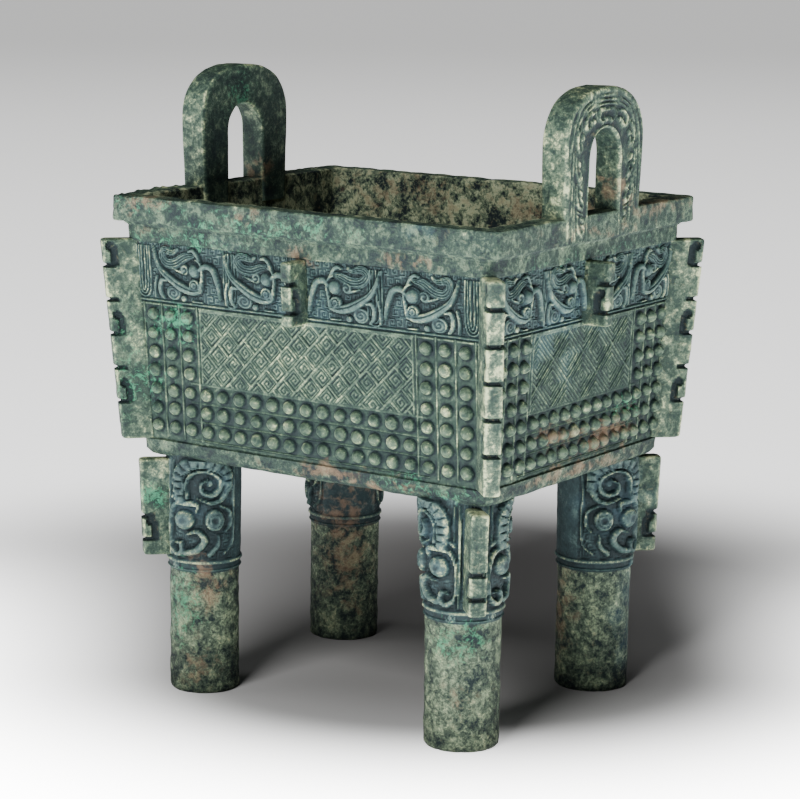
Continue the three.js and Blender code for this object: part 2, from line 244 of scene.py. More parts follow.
class Relief:
    """Raised forms drawn over the places u, v of a surface, all in millimetres."""

    def __init__(self, u, v):
        self.u, self.v = u, v
        self.height = np.full(u.shape, -9.0)
        self.gap = np.full(u.shape, 9.0)

    def raise_to(self, near, height, out):
        """Keeps the higher of what is there and a form whose edge lies where out is 0."""
        wall = smooth(-0.3, 0.3, out)
        form = np.where(out < 0.3, height * (1 - wall) - 0.9 * wall, -9.0)
        self.height[near] = np.maximum(self.height[near], form)
        self.gap[near] = np.minimum(self.gap[near], out)

    def near(self, low, high, reach):
        return ((self.u > low[0] - reach) & (self.u < high[0] + reach)
                & (self.v > low[1] - reach) & (self.v < high[1] + reach))

    def strip(self, path, widths, rise, lines=0, ribs=0.0, crown=0.3, groove_at=None):
        """A band along a path. lines cuts it into that many cords, ribs cuts it across at that
        spacing, and groove_at cuts one line at that share of its half width."""
        points, share, run = smooth_path(path)
        half = np.interp(share, np.linspace(0, 1, len(widths)), widths) / 2
        near = self.near(points.min(0), points.max(0), half.max() + 1.4)
        if not near.any():
            return
        u, v = self.u[near], self.v[near]
        best, where, hand = np.full(u.shape, 1e9), np.zeros(u.shape), np.zeros(u.shape)
        for a, b, s0, s1 in zip(points[:-1], points[1:], share[:-1], share[1:]):
            d = b - a
            t = np.clip(((u - a[0]) * d[0] + (v - a[1]) * d[1]) / max(d @ d, 1e-9), 0, 1)
            du, dv = u - a[0] - t * d[0], v - a[1] - t * d[1]
            gap = du * du + dv * dv
            better = gap < best
            best = np.where(better, gap, best)
            where = np.where(better, s0 + t * (s1 - s0), where)
            hand = np.where(better, np.sign(d[0] * dv - d[1] * du), hand)
        gap = np.sqrt(best)
        wide = np.interp(where, share, half)
        across = hand * gap / np.maximum(wide, 0.2)
        height = rise * (1 - crown * np.clip(across, -1, 1) ** 2)
        if lines:
            height = height - 0.75 * (0.5 - 0.5 * np.cos(math.pi * lines * (across + 1))) ** 0.7
        if ribs:
            turn = np.abs((where * run / ribs) % 1.0 - 0.5)
            height = height - 1.1 * (1 - smooth(0.0, 0.16, turn)) * (np.abs(across) < 0.72)
            height = height - 0.7 * (1 - smooth(0.0, 0.16, np.abs(np.abs(across) - 0.74)))
        if groove_at is not None:
            height = height - 0.6 * (1 - smooth(0.12, 0.4, np.abs(across - groove_at) * wide))
        self.raise_to(near, height, gap - wide)

    def dome(self, u, v, radius, rise, squash=1.0, flat=0.5, ring=0.0, pit=0.0):
        """A boss. ring cuts a line round it at that share of its radius, pit sinks its middle."""
        near = self.near((u, v), (u, v), radius * max(squash, 1) + 1.4)
        if not near.any():
            return
        d = np.hypot((self.u[near] - u) / squash, self.v[near] - v)
        height = rise * np.clip(1 - (d / radius) ** 2, 0, 1) ** flat
        if ring:
            height = height - 0.8 * (1 - smooth(0.1, 0.42, np.abs(d - ring * radius)))
        if pit:
            height = height - pit * (1 - smooth(0.1, 0.45, d / radius))
        self.raise_to(near, height, d - radius)

    def curl(self, u, v, radius, rise, pitch=1.5, hand=1, squash=1.0, start=0.0):
        """A coiled cord, wound to the left or right."""
        near = self.near((u, v), (u, v), radius * max(squash, 1) + 1.4)
        if not near.any():
            return
        du, dv = (self.u[near] - u) / squash, self.v[near] - v
        d = np.hypot(du, dv)
        turn = (np.arctan2(dv, du) * hand + start) / (2 * math.pi)
        wave = 0.5 + 0.5 * np.cos(2 * math.pi * (d / pitch - turn))
        self.raise_to(near, rise * (0.25 + 0.75 * wave ** 0.8), d - radius)

    def over(self, ground, moat=0.75, floor=-0.85):
        """Lays the forms over a ground, with a sunk line round every form."""
        beside = smooth(0.0, moat, self.gap)
        return np.maximum(self.height, floor + (ground - floor) * beside)


def square_spiral(x, y, pitch):
    """1 on the line of a squared spiral round the middle and -1 in its groove."""
    upper = np.cos(2 * math.pi * np.maximum(np.abs(x), np.abs(y)) / pitch)
    lower = -np.cos(2 * math.pi * np.maximum(np.abs(x - pitch / 2), np.abs(y)) / pitch)
    return np.where(y >= 0, upper, lower)


def thunder_ground(u, v, cell, pitch):
    """Rows of small squared spirals, every other one turned over."""
    row = np.floor(v / cell)
    shifted = u + 0.5 * cell * (row % 2)
    column = np.floor(shifted / cell)
    x = (shifted - (column + 0.5) * cell) * np.where((row + column) % 2 == 0, 1, -1)
    y = (v - (row + 0.5) * cell) * np.where(column % 2 == 0, 1, -1)
    return square_spiral(x, y, pitch)


def ridge_wave(wave, rise, sharp=0.8):
    """Turns a wave of -1 to 1 into lines that stand between -rise and 0."""
    return -rise * (1 - (0.5 + 0.5 * wave) ** sharp)


# ------------------------------------------------------------ the bird band

def bird(relief, u, facing, stretch, level, outer):
    """A bird in profile: eye, hooked beak, volute crest, swept wing and dropped tail."""
    def at(points):
        return [(u + facing * stretch * du, level + dv) for du, dv in points]

    def spot(du, dv):
        return u + facing * stretch * du, level + dv

    crest = [[0.4, 5.4], [-3.4, 4.3], [-8.2, 2.6], [-13.2, 3.2], [-16.2, 6.2], [-13.6, 8.4], [-8.4, 7.6],
             [-6.6, 8.6]]
    if outer:
        crest = [[-0.6, 6.6], [-5.2, 5.6], [-10.4, 2.6], [-15.2, 1.9], [-18.0, 4.4], [-17.2, 7.6], [-12.6, 7.0],
                 [-9.8, 8.4]]
    relief.strip(at(crest), [2.2, 4.2, 4.8, 4.6, 4.4, 3.8, 3.0, 1.6], 1.0, lines=4, crown=0.1)
    relief.strip(at([[-3.2, 8.2], [-1.2, 8.6], [0.8, 7.2], [2.4, 4.4]]), [1.2, 1.8, 1.6, 1.4], 1.1)
    relief.strip(at([[2.2, 0.4], [6.0, 2.4], [9.6, 1.2], [11.6, -2.8], [12.8, -7.0], [13.4, -11.2]]),
                 [2.2, 2.9, 2.9, 2.5, 1.9, 0.9], 1.9, crown=0.6)
    relief.strip(at([[0.8, 4.9], [3.1, 3.3], [4.0, 0.0], [3.4, -4.2], [2.6, -8.2]]), [1.1, 1.4, 1.5, 1.5, 1.9], 1.4)
    relief.strip(at([[2.0, -8.6], [-1.8, -9.2], [-7.6, -7.9], [-13.2, -5.0], [-18.0, -1.6], [-20.8, 2.6],
                     [-22.8, 8.8]]),
                 [2.8, 4.0, 4.2, 3.6, 2.8, 1.9, 0.6], 1.9, crown=0.55, groove_at=0.25 * -facing)
    relief.dome(*spot(-0.4, -6.5), 3.0, 1.9, flat=0.3, ring=0.55, pit=0.6)
    relief.strip(at([[-15.8, -5.6], [-18.4, -5.4], [-19.6, -7.6], [-19.4, -11.2], [-17.6, -13.6]]),
                 [1.2, 2.1, 2.2, 2.0, 1.2], 1.3, crown=0.3)
    relief.strip(at([[-21.6, -4.2], [-22.6, -8.6], [-22.4, -13.4]]), [1.2, 1.4, 1.1], 0.9)
    relief.curl(*spot(-12.6, -10.8), 3.3, 0.7, pitch=1.5, hand=facing, squash=1.25)
    relief.dome(*spot(-6.8, -12.8), 1.5, 1.3)
    relief.strip(at([[-2.0, -13.6], [2.8, -13.8]]), [0.9, 0.9], 0.7)
    relief.curl(*spot(-5.9, 0.1), 2.4, 1.2, pitch=1.9, hand=-facing, squash=1.1)
    relief.strip(at([[-7.2, -1.4], [-10.2, -0.6], [-12.6, 0.2]]), [1.5, 1.2, 0.6], 0.9)
    relief.dome(*spot(0, 0), 3.9, 1.2, flat=0.15, ring=0.86)
    relief.dome(*spot(0, 0), 2.9, 3.1)
    # the tongue of nested lines before an outer bird, and behind it in the corner
    for du, reach in ((18.9, 14.4), (-28.9, 13.6)) if outer else ():
        for k, (half, drop) in enumerate(((3.5, 0.0), (2.2, 1.3), (0.9, 2.6))):
            relief.strip(at([[du - half, 8.8], [du - half, -reach + 4 + drop], [du, -reach + drop],
                             [du + half, -reach + 4 + drop], [du + half, 8.8]]), [0.85, 0.85], 0.35 + 0.1 * k)


def band_relief(kind, u, z):
    """Two birds on each side of the middle, all facing it, over rows of small squared spirals."""
    o = ornament_sizes()
    eyes = {"long": (17.7, 56.4), "short": (14.8, 50.0)}[kind]
    level = o.eye_height / MM
    foot = o.band_foot / MM
    relief = Relief(u, z)
    stretch = (eyes[1] - eyes[0]) / 38.7
    for k, eye in enumerate(eyes):
        for hand in (-1, 1):
            bird(relief, hand * eye, -hand, stretch, level, outer=k == 1)
    relief.strip([(-120, foot + 1.2), (120, foot + 1.2)], [0.9, 0.9], 0.35)
    ground = ridge_wave(thunder_ground(u, z - foot - 2.0, 4.3, 1.22), 0.62) - 0.12
    return relief.over(ground)


# ------------------------------------------------------------ fret panels and nipples

def fret_long(u, z):
    """Interlocking squared spirals set on the diagonal in staggered rows."""
    cell, pitch = 8.2, 1.5
    a, b = (u + z) * math.sqrt(0.5), (u - z) * math.sqrt(0.5)
    row = np.floor(b / cell)
    a = a + row * cell * 0.5
    column = np.floor(a / cell)
    x, y = a - (column + 0.5) * cell, b - (row + 0.5) * cell
    turned = (column + 2 * row) % 4
    px = np.where(turned % 2 == 0, x, y) * np.where(turned < 2, 1, -1)
    py = np.where(turned % 2 == 0, y, x) * np.where(turned < 2, 1, -1)
    spiral = ridge_wave(square_spiral(px, py, pitch), 0.62, 0.75)
    edge = np.maximum(np.abs(x), np.abs(y)) - cell / 2
    border = 0.12 * (1 - smooth(0.28, 0.5, -edge))
    moat = smooth(0.5, 0.8, -edge) * smooth(-1.15, -0.85, edge)
    return np.where(-edge < 0.5, border, spiral - 0.25 * moat)


def fret_short(u, z):
    """Nested lozenges with small squared spirals at their middles."""
    half_u, half_z = 12.4, 10.6
    x, y = u / half_u, (z - 153.2) / half_z
    a, b = (x + y) / 2, (x - y) / 2
    row, column = np.floor(b + 0.5), np.floor(a + 0.5)
    p, q = a - column, b - row
    d = np.maximum(np.abs(p), np.abs(q)) * 16.4
    px = np.where((row + column) % 2 == 0, p, -p) * 16.4
    spiral = square_spiral(px, q * 16.4, 1.45)
    rings = np.cos(2 * math.pi * (8.2 - d) / 1.65)
    lines = np.where(d < 3.4, spiral, rings)
    raised = 0.25 * (1 - smooth(0.25, 0.5, 8.2 - d)) + 0.15 * (1 - smooth(0.2, 0.5, np.abs(d - 4.9)))
    return ridge_wave(lines, 0.5) + raised


# nipple columns, nipples between the innermost ones, half width of the panel, its fret, random seed
LOWER_LAYOUT = {"long": ((62.1, 71.6, 81.3), 13, 55.4, fret_long, 7),
                "short": ((48.1, 57.2, 66.3), 10, 41.1, fret_short, 8)}


def lower_relief(kind, u, z, places):
    """The fret panel in its frame, with nipples in columns beside it and in rows below."""
    o = ornament_sizes()
    low, high = o.panel_low / MM, o.panel_high / MM
    columns, between, panel, fret, seed = LOWER_LAYOUT[kind]
    fret = fret(u, z)
    depth = np.minimum(np.minimum(z - low, high - z), panel - np.abs(u))
    inside, edge = smooth(-0.15, 0.15, depth), np.abs(depth)
    ground = fret * inside - 0.45 * (1 - inside)
    frame_line = 0.15 * (1 - smooth(0.2, 0.9, edge)) - 0.5 * smooth(0.2, 0.6, edge)
    ground = np.where(edge < 0.9, np.maximum(ground, frame_line), ground)
    relief = Relief(u, z)
    pitch, radius, rise = o.nipple_pitch / MM, o.nipple_radius / MM, o.nipple_rise / MM
    draw = np.random.RandomState(seed)
    first = o.nipple_low / MM
    for row in range(7):
        level = first + row * pitch
        spots = [s * c for c in columns for s in (-1, 1)]
        if row < 3:
            step = 2 * columns[0] / (between + 1)
            spots += [-columns[0] + i * step for i in range(1, between + 1)]
        for spot in spots:
            wobble = draw.uniform(-1, 1, 5)
            relief.dome(spot + 0.25 * wobble[0], level + 0.25 * wobble[1], radius * (0.90 + 0.07 * wobble[2]),
                        rise * (0.95 + 0.06 * wobble[3]), flat=0.8, pit=0.1 * wobble[4])
    # low ridges between the columns and between the rows
    for at in (columns[0] - 5.0, (columns[0] + columns[1]) / 2, (columns[1] + columns[2]) / 2, columns[2] + 5.0):
        for hand in (-1, 1):
            relief.strip([(hand * at, first - 4.6), (hand * at, high + 2)], [0.9, 0.9], 0.1)
    for row in range(4):
        level = first + (row - 0.5) * pitch
        relief.strip([(-columns[0], level), (columns[0], level)], [0.7, 0.7], -0.05)
    floor_noise = 0.16 * rough(places, 2.6, 2, 40)
    outside = (np.abs(u) > panel) | (z < low) | (z > high)
    ground = ground + np.where(outside, floor_noise, 0)
    top_line = 1 - smooth(0.35, 0.75, np.abs(z - high - 1.0))
    ground = np.maximum(ground, -0.8 + 0.9 * top_line)
    return relief.over(ground, moat=0.5, floor=-0.75)


# ------------------------------------------------------------ mask on each leg

def mask_relief(u, z, places):
    """A horned mask drawn once and mirrored about the nose, with the rings below it."""
    relief = Relief(np.abs(u), z)
    strip, dome = relief.strip, relief.dome
    strip([(6.0, 63.5), (5.6, 84), (6.0, 106.5)], [1.1, 1.2, 1.1], 1.0)
    strip([(8.2, 106.5), (8.4, 96), (7.8, 90)], [0.9, 1.0, 0.7], 0.7)
    strip([(10.6, 105), (9.8, 97), (10.4, 91)], [0.8, 1.0, 0.6], 0.5)
    strip([(7.9, 89.6), (10.4, 92.0), (9.6, 95.6)], [1.6, 1.8, 0.8], 1.1)
    strip([(13.2, 89.6), (12.5, 99), (16.8, 105.6), (25, 106.8), (32.6, 102.6), (34.2, 95.4)],
          [4.8, 5.8, 6.2, 6.2, 5.6, 4.6], 3.0, ribs=3.4, crown=0.15)
    strip([(16.6, 90.2), (16.2, 97.2), (19.2, 101.8), (25.4, 102.6), (30.0, 99.4), (30.6, 95.2), (27.4, 92.0),
           (23.2, 93.2), (22.6, 97.0), (25.4, 98.8)],
          [1.2, 1.7, 1.8, 1.8, 1.9, 2.2, 2.6, 2.4, 1.8, 1.0], 2.5, crown=0.5)
    strip([(34.2, 95.4), (31.6, 89.9), (26.4, 88.4), (21.0, 90.4)], [4.2, 2.6, 1.8, 0.9], 2.2, lines=2)
    strip([(8.2, 65.5), (7.0, 71), (6.9, 79.6), (9.2, 86.4), (14.2, 87.9), (20.6, 87.3), (20.4, 84.0)],
          [1.3, 1.5, 1.6, 1.9, 2.1, 2.9, 1.0], 1.9, crown=0.5)
    dome(14.8, 80.2, 4.5, 3.2, squash=1.1, flat=0.5, pit=0.5)
    dome(28.4, 80.4, 5.0, 3.0, squash=0.86, flat=0.35, ring=0.6, pit=1.2)
    strip([(31.4, 86.6), (35.6, 84.0), (36.4, 78.4), (33.6, 74.6)], [1.2, 1.6, 1.6, 1.0], 1.3)
    strip([(8.4, 66.2), (11.2, 64.4), (13.8, 66.2), (13.0, 69.6), (10.2, 69.4)], [2.0, 2.4, 2.4, 2.0, 1.2], 2.1)
    strip([(15.2, 65.2), (20.6, 66.8), (24.0, 71.2), (21.0, 75.2), (16.6, 74.2)], [2.6, 3.4, 3.2, 2.4, 1.2], 2.4,
          crown=0.4)
    strip([(26.2, 64.8), (29.8, 68.6), (30.2, 73.0)], [2.4, 2.2, 1.0], 1.6)
    strip([(33.0, 64.6), (37.8, 69.0), (38.6, 80.0), (38.0, 92.0), (38.6, 106.0)], [1.0, 1.0, 1.1, 1.0, 0.9], 0.7)
    relief.curl(26.2, 97.2, 1.6, 0.3, pitch=1.6)
    carved = 1 - smooth(39.4, 40.6, np.abs(u))
    field = ridge_wave(thunder_ground(np.abs(u) + 1.2, z, 3.9, 1.3), 0.5) - 0.25
    zone = carved * smooth(61.6, 62.4, z)
    ground = field * zone - 0.1 * (1 - zone)
    forms = relief.over(ground, moat=0.7, floor=-0.95)
    height = np.where(zone > 0.02, forms * zone + ground * (1 - zone), ground)
    # plain rings below the mask, with a small ring motif beside the nose
    rings = Relief(np.abs(u), z)
    rings.strip([(-80, 60.6), (80, 60.6)], [1.6, 1.6], 0.75)
    rings.strip([(-80, 57.2), (80, 57.2)], [1.3, 1.3], 0.3)
    rings.dome(9.4, 58.9, 2.3, 0.9, flat=0.15, ring=0.6)
    low = rings.over(np.full(u.shape, -0.15), moat=0.5, floor=-0.35)
    height = np.where(z < 62.0, low, height)
    return height + 0.12 * rough(places, 4.0, 3, 61)


# ------------------------------------------------------------ meshes

def only(piece):
    bpy.ops.object.select_all(action="DESELECT")
    piece.select_set(True)
    bpy.context.view_layer.objects.active = piece


def lattice(name, columns, rows):
    """A flat grid of columns by rows faces, and each vertex's place in (rows, columns) order."""
    bpy.ops.object.select_all(action="DESELECT")
    bpy.ops.mesh.primitive_grid_add(x_subdivisions=columns, y_subdivisions=rows, size=2)
    piece = bpy.context.object
    piece.name = piece.data.name = name
    co = np.empty(len(piece.data.vertices) * 3)
    piece.data.vertices.foreach_get("co", co)
    x, y = np.round(co.reshape(-1, 3)[:, :2], 5).T
    return piece, np.searchsorted(np.unique(y), y) * (columns + 1) + np.searchsorted(np.unique(x), x)


def shape(piece, places, order, marks):
    """Moves a grid's vertices to places (rows, columns, 3) in millimetres and keeps its marks."""
    flat = places.reshape(-1, 3)[order] * MM
    piece.data.vertices.foreach_set("co", flat.ravel())
    for name, values in marks.items():
        layer = piece.data.attributes.new(name, "FLOAT", "POINT")
        values = np.broadcast_to(values, places.shape[:2]).ravel()[order]
        layer.data.foreach_set("value", values.astype(np.float32))
    piece.data.update()


def close_tube(piece):
    """Joins a wrapped grid's seam and closes both its ends."""
    only(piece)
    bpy.ops.object.mode_set(mode="EDIT")
    bpy.ops.mesh.select_mode(type="VERT")
    bpy.ops.mesh.select_all(action="SELECT")
    bpy.ops.mesh.remove_doubles(threshold=1e-7)
    bpy.ops.mesh.fill_holes(sides=0)
    bpy.ops.mesh.select_all(action="DESELECT")
    bpy.ops.mesh.select_face_by_sides(number=4, type="GREATER")
    bpy.ops.mesh.poke()
    bpy.ops.mesh.select_all(action="SELECT")
    bpy.ops.mesh.normals_make_consistent(inside=False)
    bpy.ops.object.mode_set(mode="OBJECT")


def close_slab(piece, back):
    """Gives a carved sheet its thickness: its border goes back and is closed there."""
    only(piece)
    bpy.ops.object.mode_set(mode="EDIT")
    bpy.ops.mesh.select_mode(type="EDGE")
    bpy.ops.mesh.select_all(action="DESELECT")
    bpy.ops.mesh.select_non_manifold()
    bpy.ops.mesh.extrude_edges_move(TRANSFORM_OT_translate={"value": back})
    bpy.ops.mesh.edge_face_add()
    bpy.ops.mesh.poke()
    bpy.ops.mesh.select_all(action="SELECT")
    bpy.ops.mesh.normals_make_consistent(inside=False)
    bpy.ops.object.mode_set(mode="OBJECT")


def finish_piece(piece, material, angle=50.0):
    """Smooths a piece, gives it its finish and ties it to the frame."""
    only(piece)
    bpy.ops.object.shade_smooth_by_angle(angle=math.radians(angle))
    piece.data.materials.clear()
    piece.data.materials.append(material)
    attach(piece, BODY)
    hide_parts(NODE)


def second_finish(piece, material, chosen):
    """Gives another finish to the faces whose centres, in millimetres, are chosen."""
    centres = np.empty(len(piece.data.polygons) * 3)
    piece.data.polygons.foreach_get("center", centres)
    piece.data.materials.append(material)
    faces = chosen(*(centres.reshape(-1, 3) / MM).T)
    piece.data.polygons.foreach_set("material_index", faces.astype(np.int32))


def box_section(on_a, on_corner, on_b):
    """Places round a unit square, from its +a side: the steps on the +a side, a corner and +b."""
    half, radius = 0.5, 0.0001
    points = []
    for quarter, (sa, sb) in enumerate(((1, 1), (-1, 1), (-1, -1), (1, -1))):
        ca, cb = sa * (half - radius), sb * (half - radius)
        for i in range(on_corner + 1):
            angle = (quarter + i / on_corner) * math.pi / 2
            points.append((ca + radius * math.cos(angle), cb + radius * math.sin(angle)))
        steps = on_b if quarter % 2 == 0 else on_a
        turn = (quarter + 1) * math.pi / 2
        na, nb = ((-1, 1), (-1, -1), (1, -1), (1, 1))[quarter]
        here = np.array(points[-1])
        there = np.array((na * (half - radius) + radius * math.cos(turn),
                          nb * (half - radius) + radius * math.sin(turn)))
        points += [tuple(here + (there - here) * i / steps) for i in range(1, steps)]
    return np.array(points + points[:1])


def eased(da, db, ease):
    """Rounds an edge over, for places da and db in from its two faces: where that applies, how far
    in the rounded places lie, and which way is out there."""
    fa, fb = ease - np.clip(da, 0, ease), ease - np.clip(db, 0, ease)
    far = np.maximum(np.hypot(fa, fb), 1e-6)
    keep = np.maximum(fa, fb) / far
    return (fa > 0) & (fb > 0), ease - fa * keep, ease - fb * keep, fa / far, fb / far


def wear(height, fine, broad):
    """How raised each lattice place is against what lies round it: 0 sunk, 0.5 level, 1 high."""
    near, far = height - blur(height, fine), height - blur(height, broad)
    crest = 0.30 * np.tanh(2.4 * near) + 0.09 * np.tanh(0.7 * far)
    return 0.47 + crest - 0.15 * smooth(0.5, 1.5, far)


# ------------------------------------------------------------ where stains lie, and pale patches that are partly painted highlights

# each stain: middle, reach along x, y and z, strength; in millimetres on the vessel
STAINS = {
    "oxide": [
        ((-78, -84, 222), (16, 9, 6), 0.8), ((60, -80, 207), (24, 8, 5), 0.6),
        ((-30, -84, 221), (20, 9, 4), 0.6), ((100, 0, 217), (8, 60, 4), 0.6), ((97, 50, 222), (9, 34, 7), 0.7),
        ((20, -73, 111), (46, 8, 4), 0.9), ((91, 20, 124), (6, 34, 8), 0.9), ((91, -20, 130), (6, 20, 8), 0.7),
        ((90, 0, 112), (6, 60, 5), 0.8), ((0, -79, 205), (10, 8, 6), 0.9), ((-80, -75, 208), (16, 8, 5), 0.5),
        ((94, 14, 232), (10, 6, 10), 0.8), ((-92, 14, 228), (10, 8, 10), 0.7),
        ((-50, 70, 215), (60, 10, 14), 0.7), ((40, 72, 212), (50, 10, 14), 0.8),
        ((60, -56, 96), (8, 8, 14), 0.6), ((60, 42, 34), (12, 14, 26), 0.8),
        ((-58, -66, 50), (10, 12, 14), 0.8), ((-62, -70, 14), (12, 12, 14), 0.7),
        ((-62, 44, 50), (16, 16, 40), 0.8), ((75, -70, 20), (8, 10, 10), 0.7),
    ],
    "malachite": [
        ((-92, -80, 150), (10, 10, 50), 0.5), ((-80, -84, 222), (26, 10, 5), 0.6),
        ((-20, -84, 216), (70, 9, 8), 0.62), ((-60, -80, 206), (50, 8, 6), 0.6),
        ((96, 0, 206), (6, 90, 5), 0.45), ((-70, -76, 168), (18, 6, 12), 0.7),
        ((-86, -72, 92), (10, 10, 8), 0.9), ((-92, -4, 262), (10, 16, 16), 0.7),
        ((60, -72, 112), (40, 8, 6), 0.6), ((72, -62, 48), (14, 14, 14), 0.8),
        ((-86, -76, 140), (14, 10, 16), 0.6), ((91, 40, 134), (8, 18, 8), 0.6),
        ((-72, -70, 40), (16, 16, 24), 0.7), ((76, 56, 50), (16, 16, 24), 0.4),
    ],
    # pale: pale patina, but on the handles' front-facing post strips (the two entries at y -30) a painted highlight
    # where the light falls on them
    "pale": [
        ((-10, -76, 158), (44, 8, 16), 0.9), ((-94, -82, 190), (12, 12, 30), 0.4),
        ((96, -82, 150), (10, 10, 60), 0.8), ((96, 82, 180), (10, 10, 60), 0.6),
        ((98, -30, 245), (10, 8, 40), 0.9), ((-90, -30, 245), (12, 8, 40), 0.5),
        ((0, -85, 190), (8, 10, 20), 0.8), ((70, -76, 160), (16, 8, 30), 0.4),
        ((-64, -72, 40), (14, 14, 40), 0.5), ((72, -62, 20), (20, 20, 36), 0.4),
        ((80, -66, 86), (12, 12, 26), 0.8), ((95, 0, 272), (12, 30, 8), 0.7),
    ],
    "azure": [
        ((0, -74, 185), (110, 8, 16), 0.4), ((60, -60, 92), (30, 26, 22), 0.6),
        ((92, -20, 175), (8, 50, 26), 0.6), ((-50, -80, 206), (60, 8, 8), 0.3),
        ((88, 58, 30), (8, 14, 60), 0.9), ((60, -84, 222), (20, 10, 8), 0.5),
        ((-70, -60, 92), (30, 26, 22), 0.5), ((80, 56, 90), (26, 26, 24), 0.6),
    ],
}


def stain(places, kind, seed):
    """How much of a stain each place has, its edges broken up by noise."""
    moved = places + 4.0 * np.stack([rough(places, 9.0, 2, seed + k) for k in range(3)], -1)
    total = np.zeros(places.shape[:-1])
    for middle, reach, strength in STAINS[kind]:
        d = (((moved - np.array(middle)) / np.array(reach)) ** 2).sum(-1)
        total = np.maximum(total, strength * np.exp(-d))
    return total


def stain_marks(places):
    """Every kind of stain at the places, each with its own seed."""
    return {kind: stain(places, kind, 100 + 10 * i) for i, kind in enumerate(STAINS)}


# ------------------------------------------------------------ materials

class Nodes:
    """Short calls for building a node tree."""

    def __init__(self, tree):
        self.tree = tree

    def add(self, kind, **values):
        node = self.tree.nodes.new(kind)
        for key, value in values.items():
            setattr(node, key, value)
        return node

    def link(self, source, target):
        self.tree.links.new(source, target)

    def feed(self, socket, value):
        if isinstance(value, bpy.types.NodeSocket):
            self.link(value, socket)
        else:
            socket.default_value = value

    def math(self, operation, a, b=0.0, c=0.0, clamp=False):
        node = self.add("ShaderNodeMath", operation=operation, use_clamp=clamp)
        for socket, value in zip(node.inputs, (a, b, c)):
            self.feed(socket, value)
        return node.outputs[0]

    def mix(self, factor, a, b, blend="MIX"):
        node = self.add("ShaderNodeMix", data_type="RGBA", blend_type=blend)
        self.feed(node.inputs[0], factor)
        for socket, value in ((node.inputs[6], a), (node.inputs[7], b)):
            self.feed(socket, value)
        return node.outputs[2]

    def ramp(self, value, low, high):
        node = self.add("ShaderNodeMapRange", interpolation_type="SMOOTHSTEP")
        self.feed(node.inputs["Value"], value)
        node.inputs["From Min"].default_value = low
        node.inputs["From Max"].default_value = high
        return node.outputs["Result"]

    def noise(self, place, scale, detail=4.0, roughness=0.6, distortion=0.0):
        node = self.add("ShaderNodeTexNoise")
        self.link(place, node.inputs["Vector"])
        node.inputs["Scale"].default_value = scale
        node.inputs["Detail"].default_value = detail
        node.inputs["Roughness"].default_value = roughness
        node.inputs["Distortion"].default_value = distortion
        return node.outputs["Fac"]


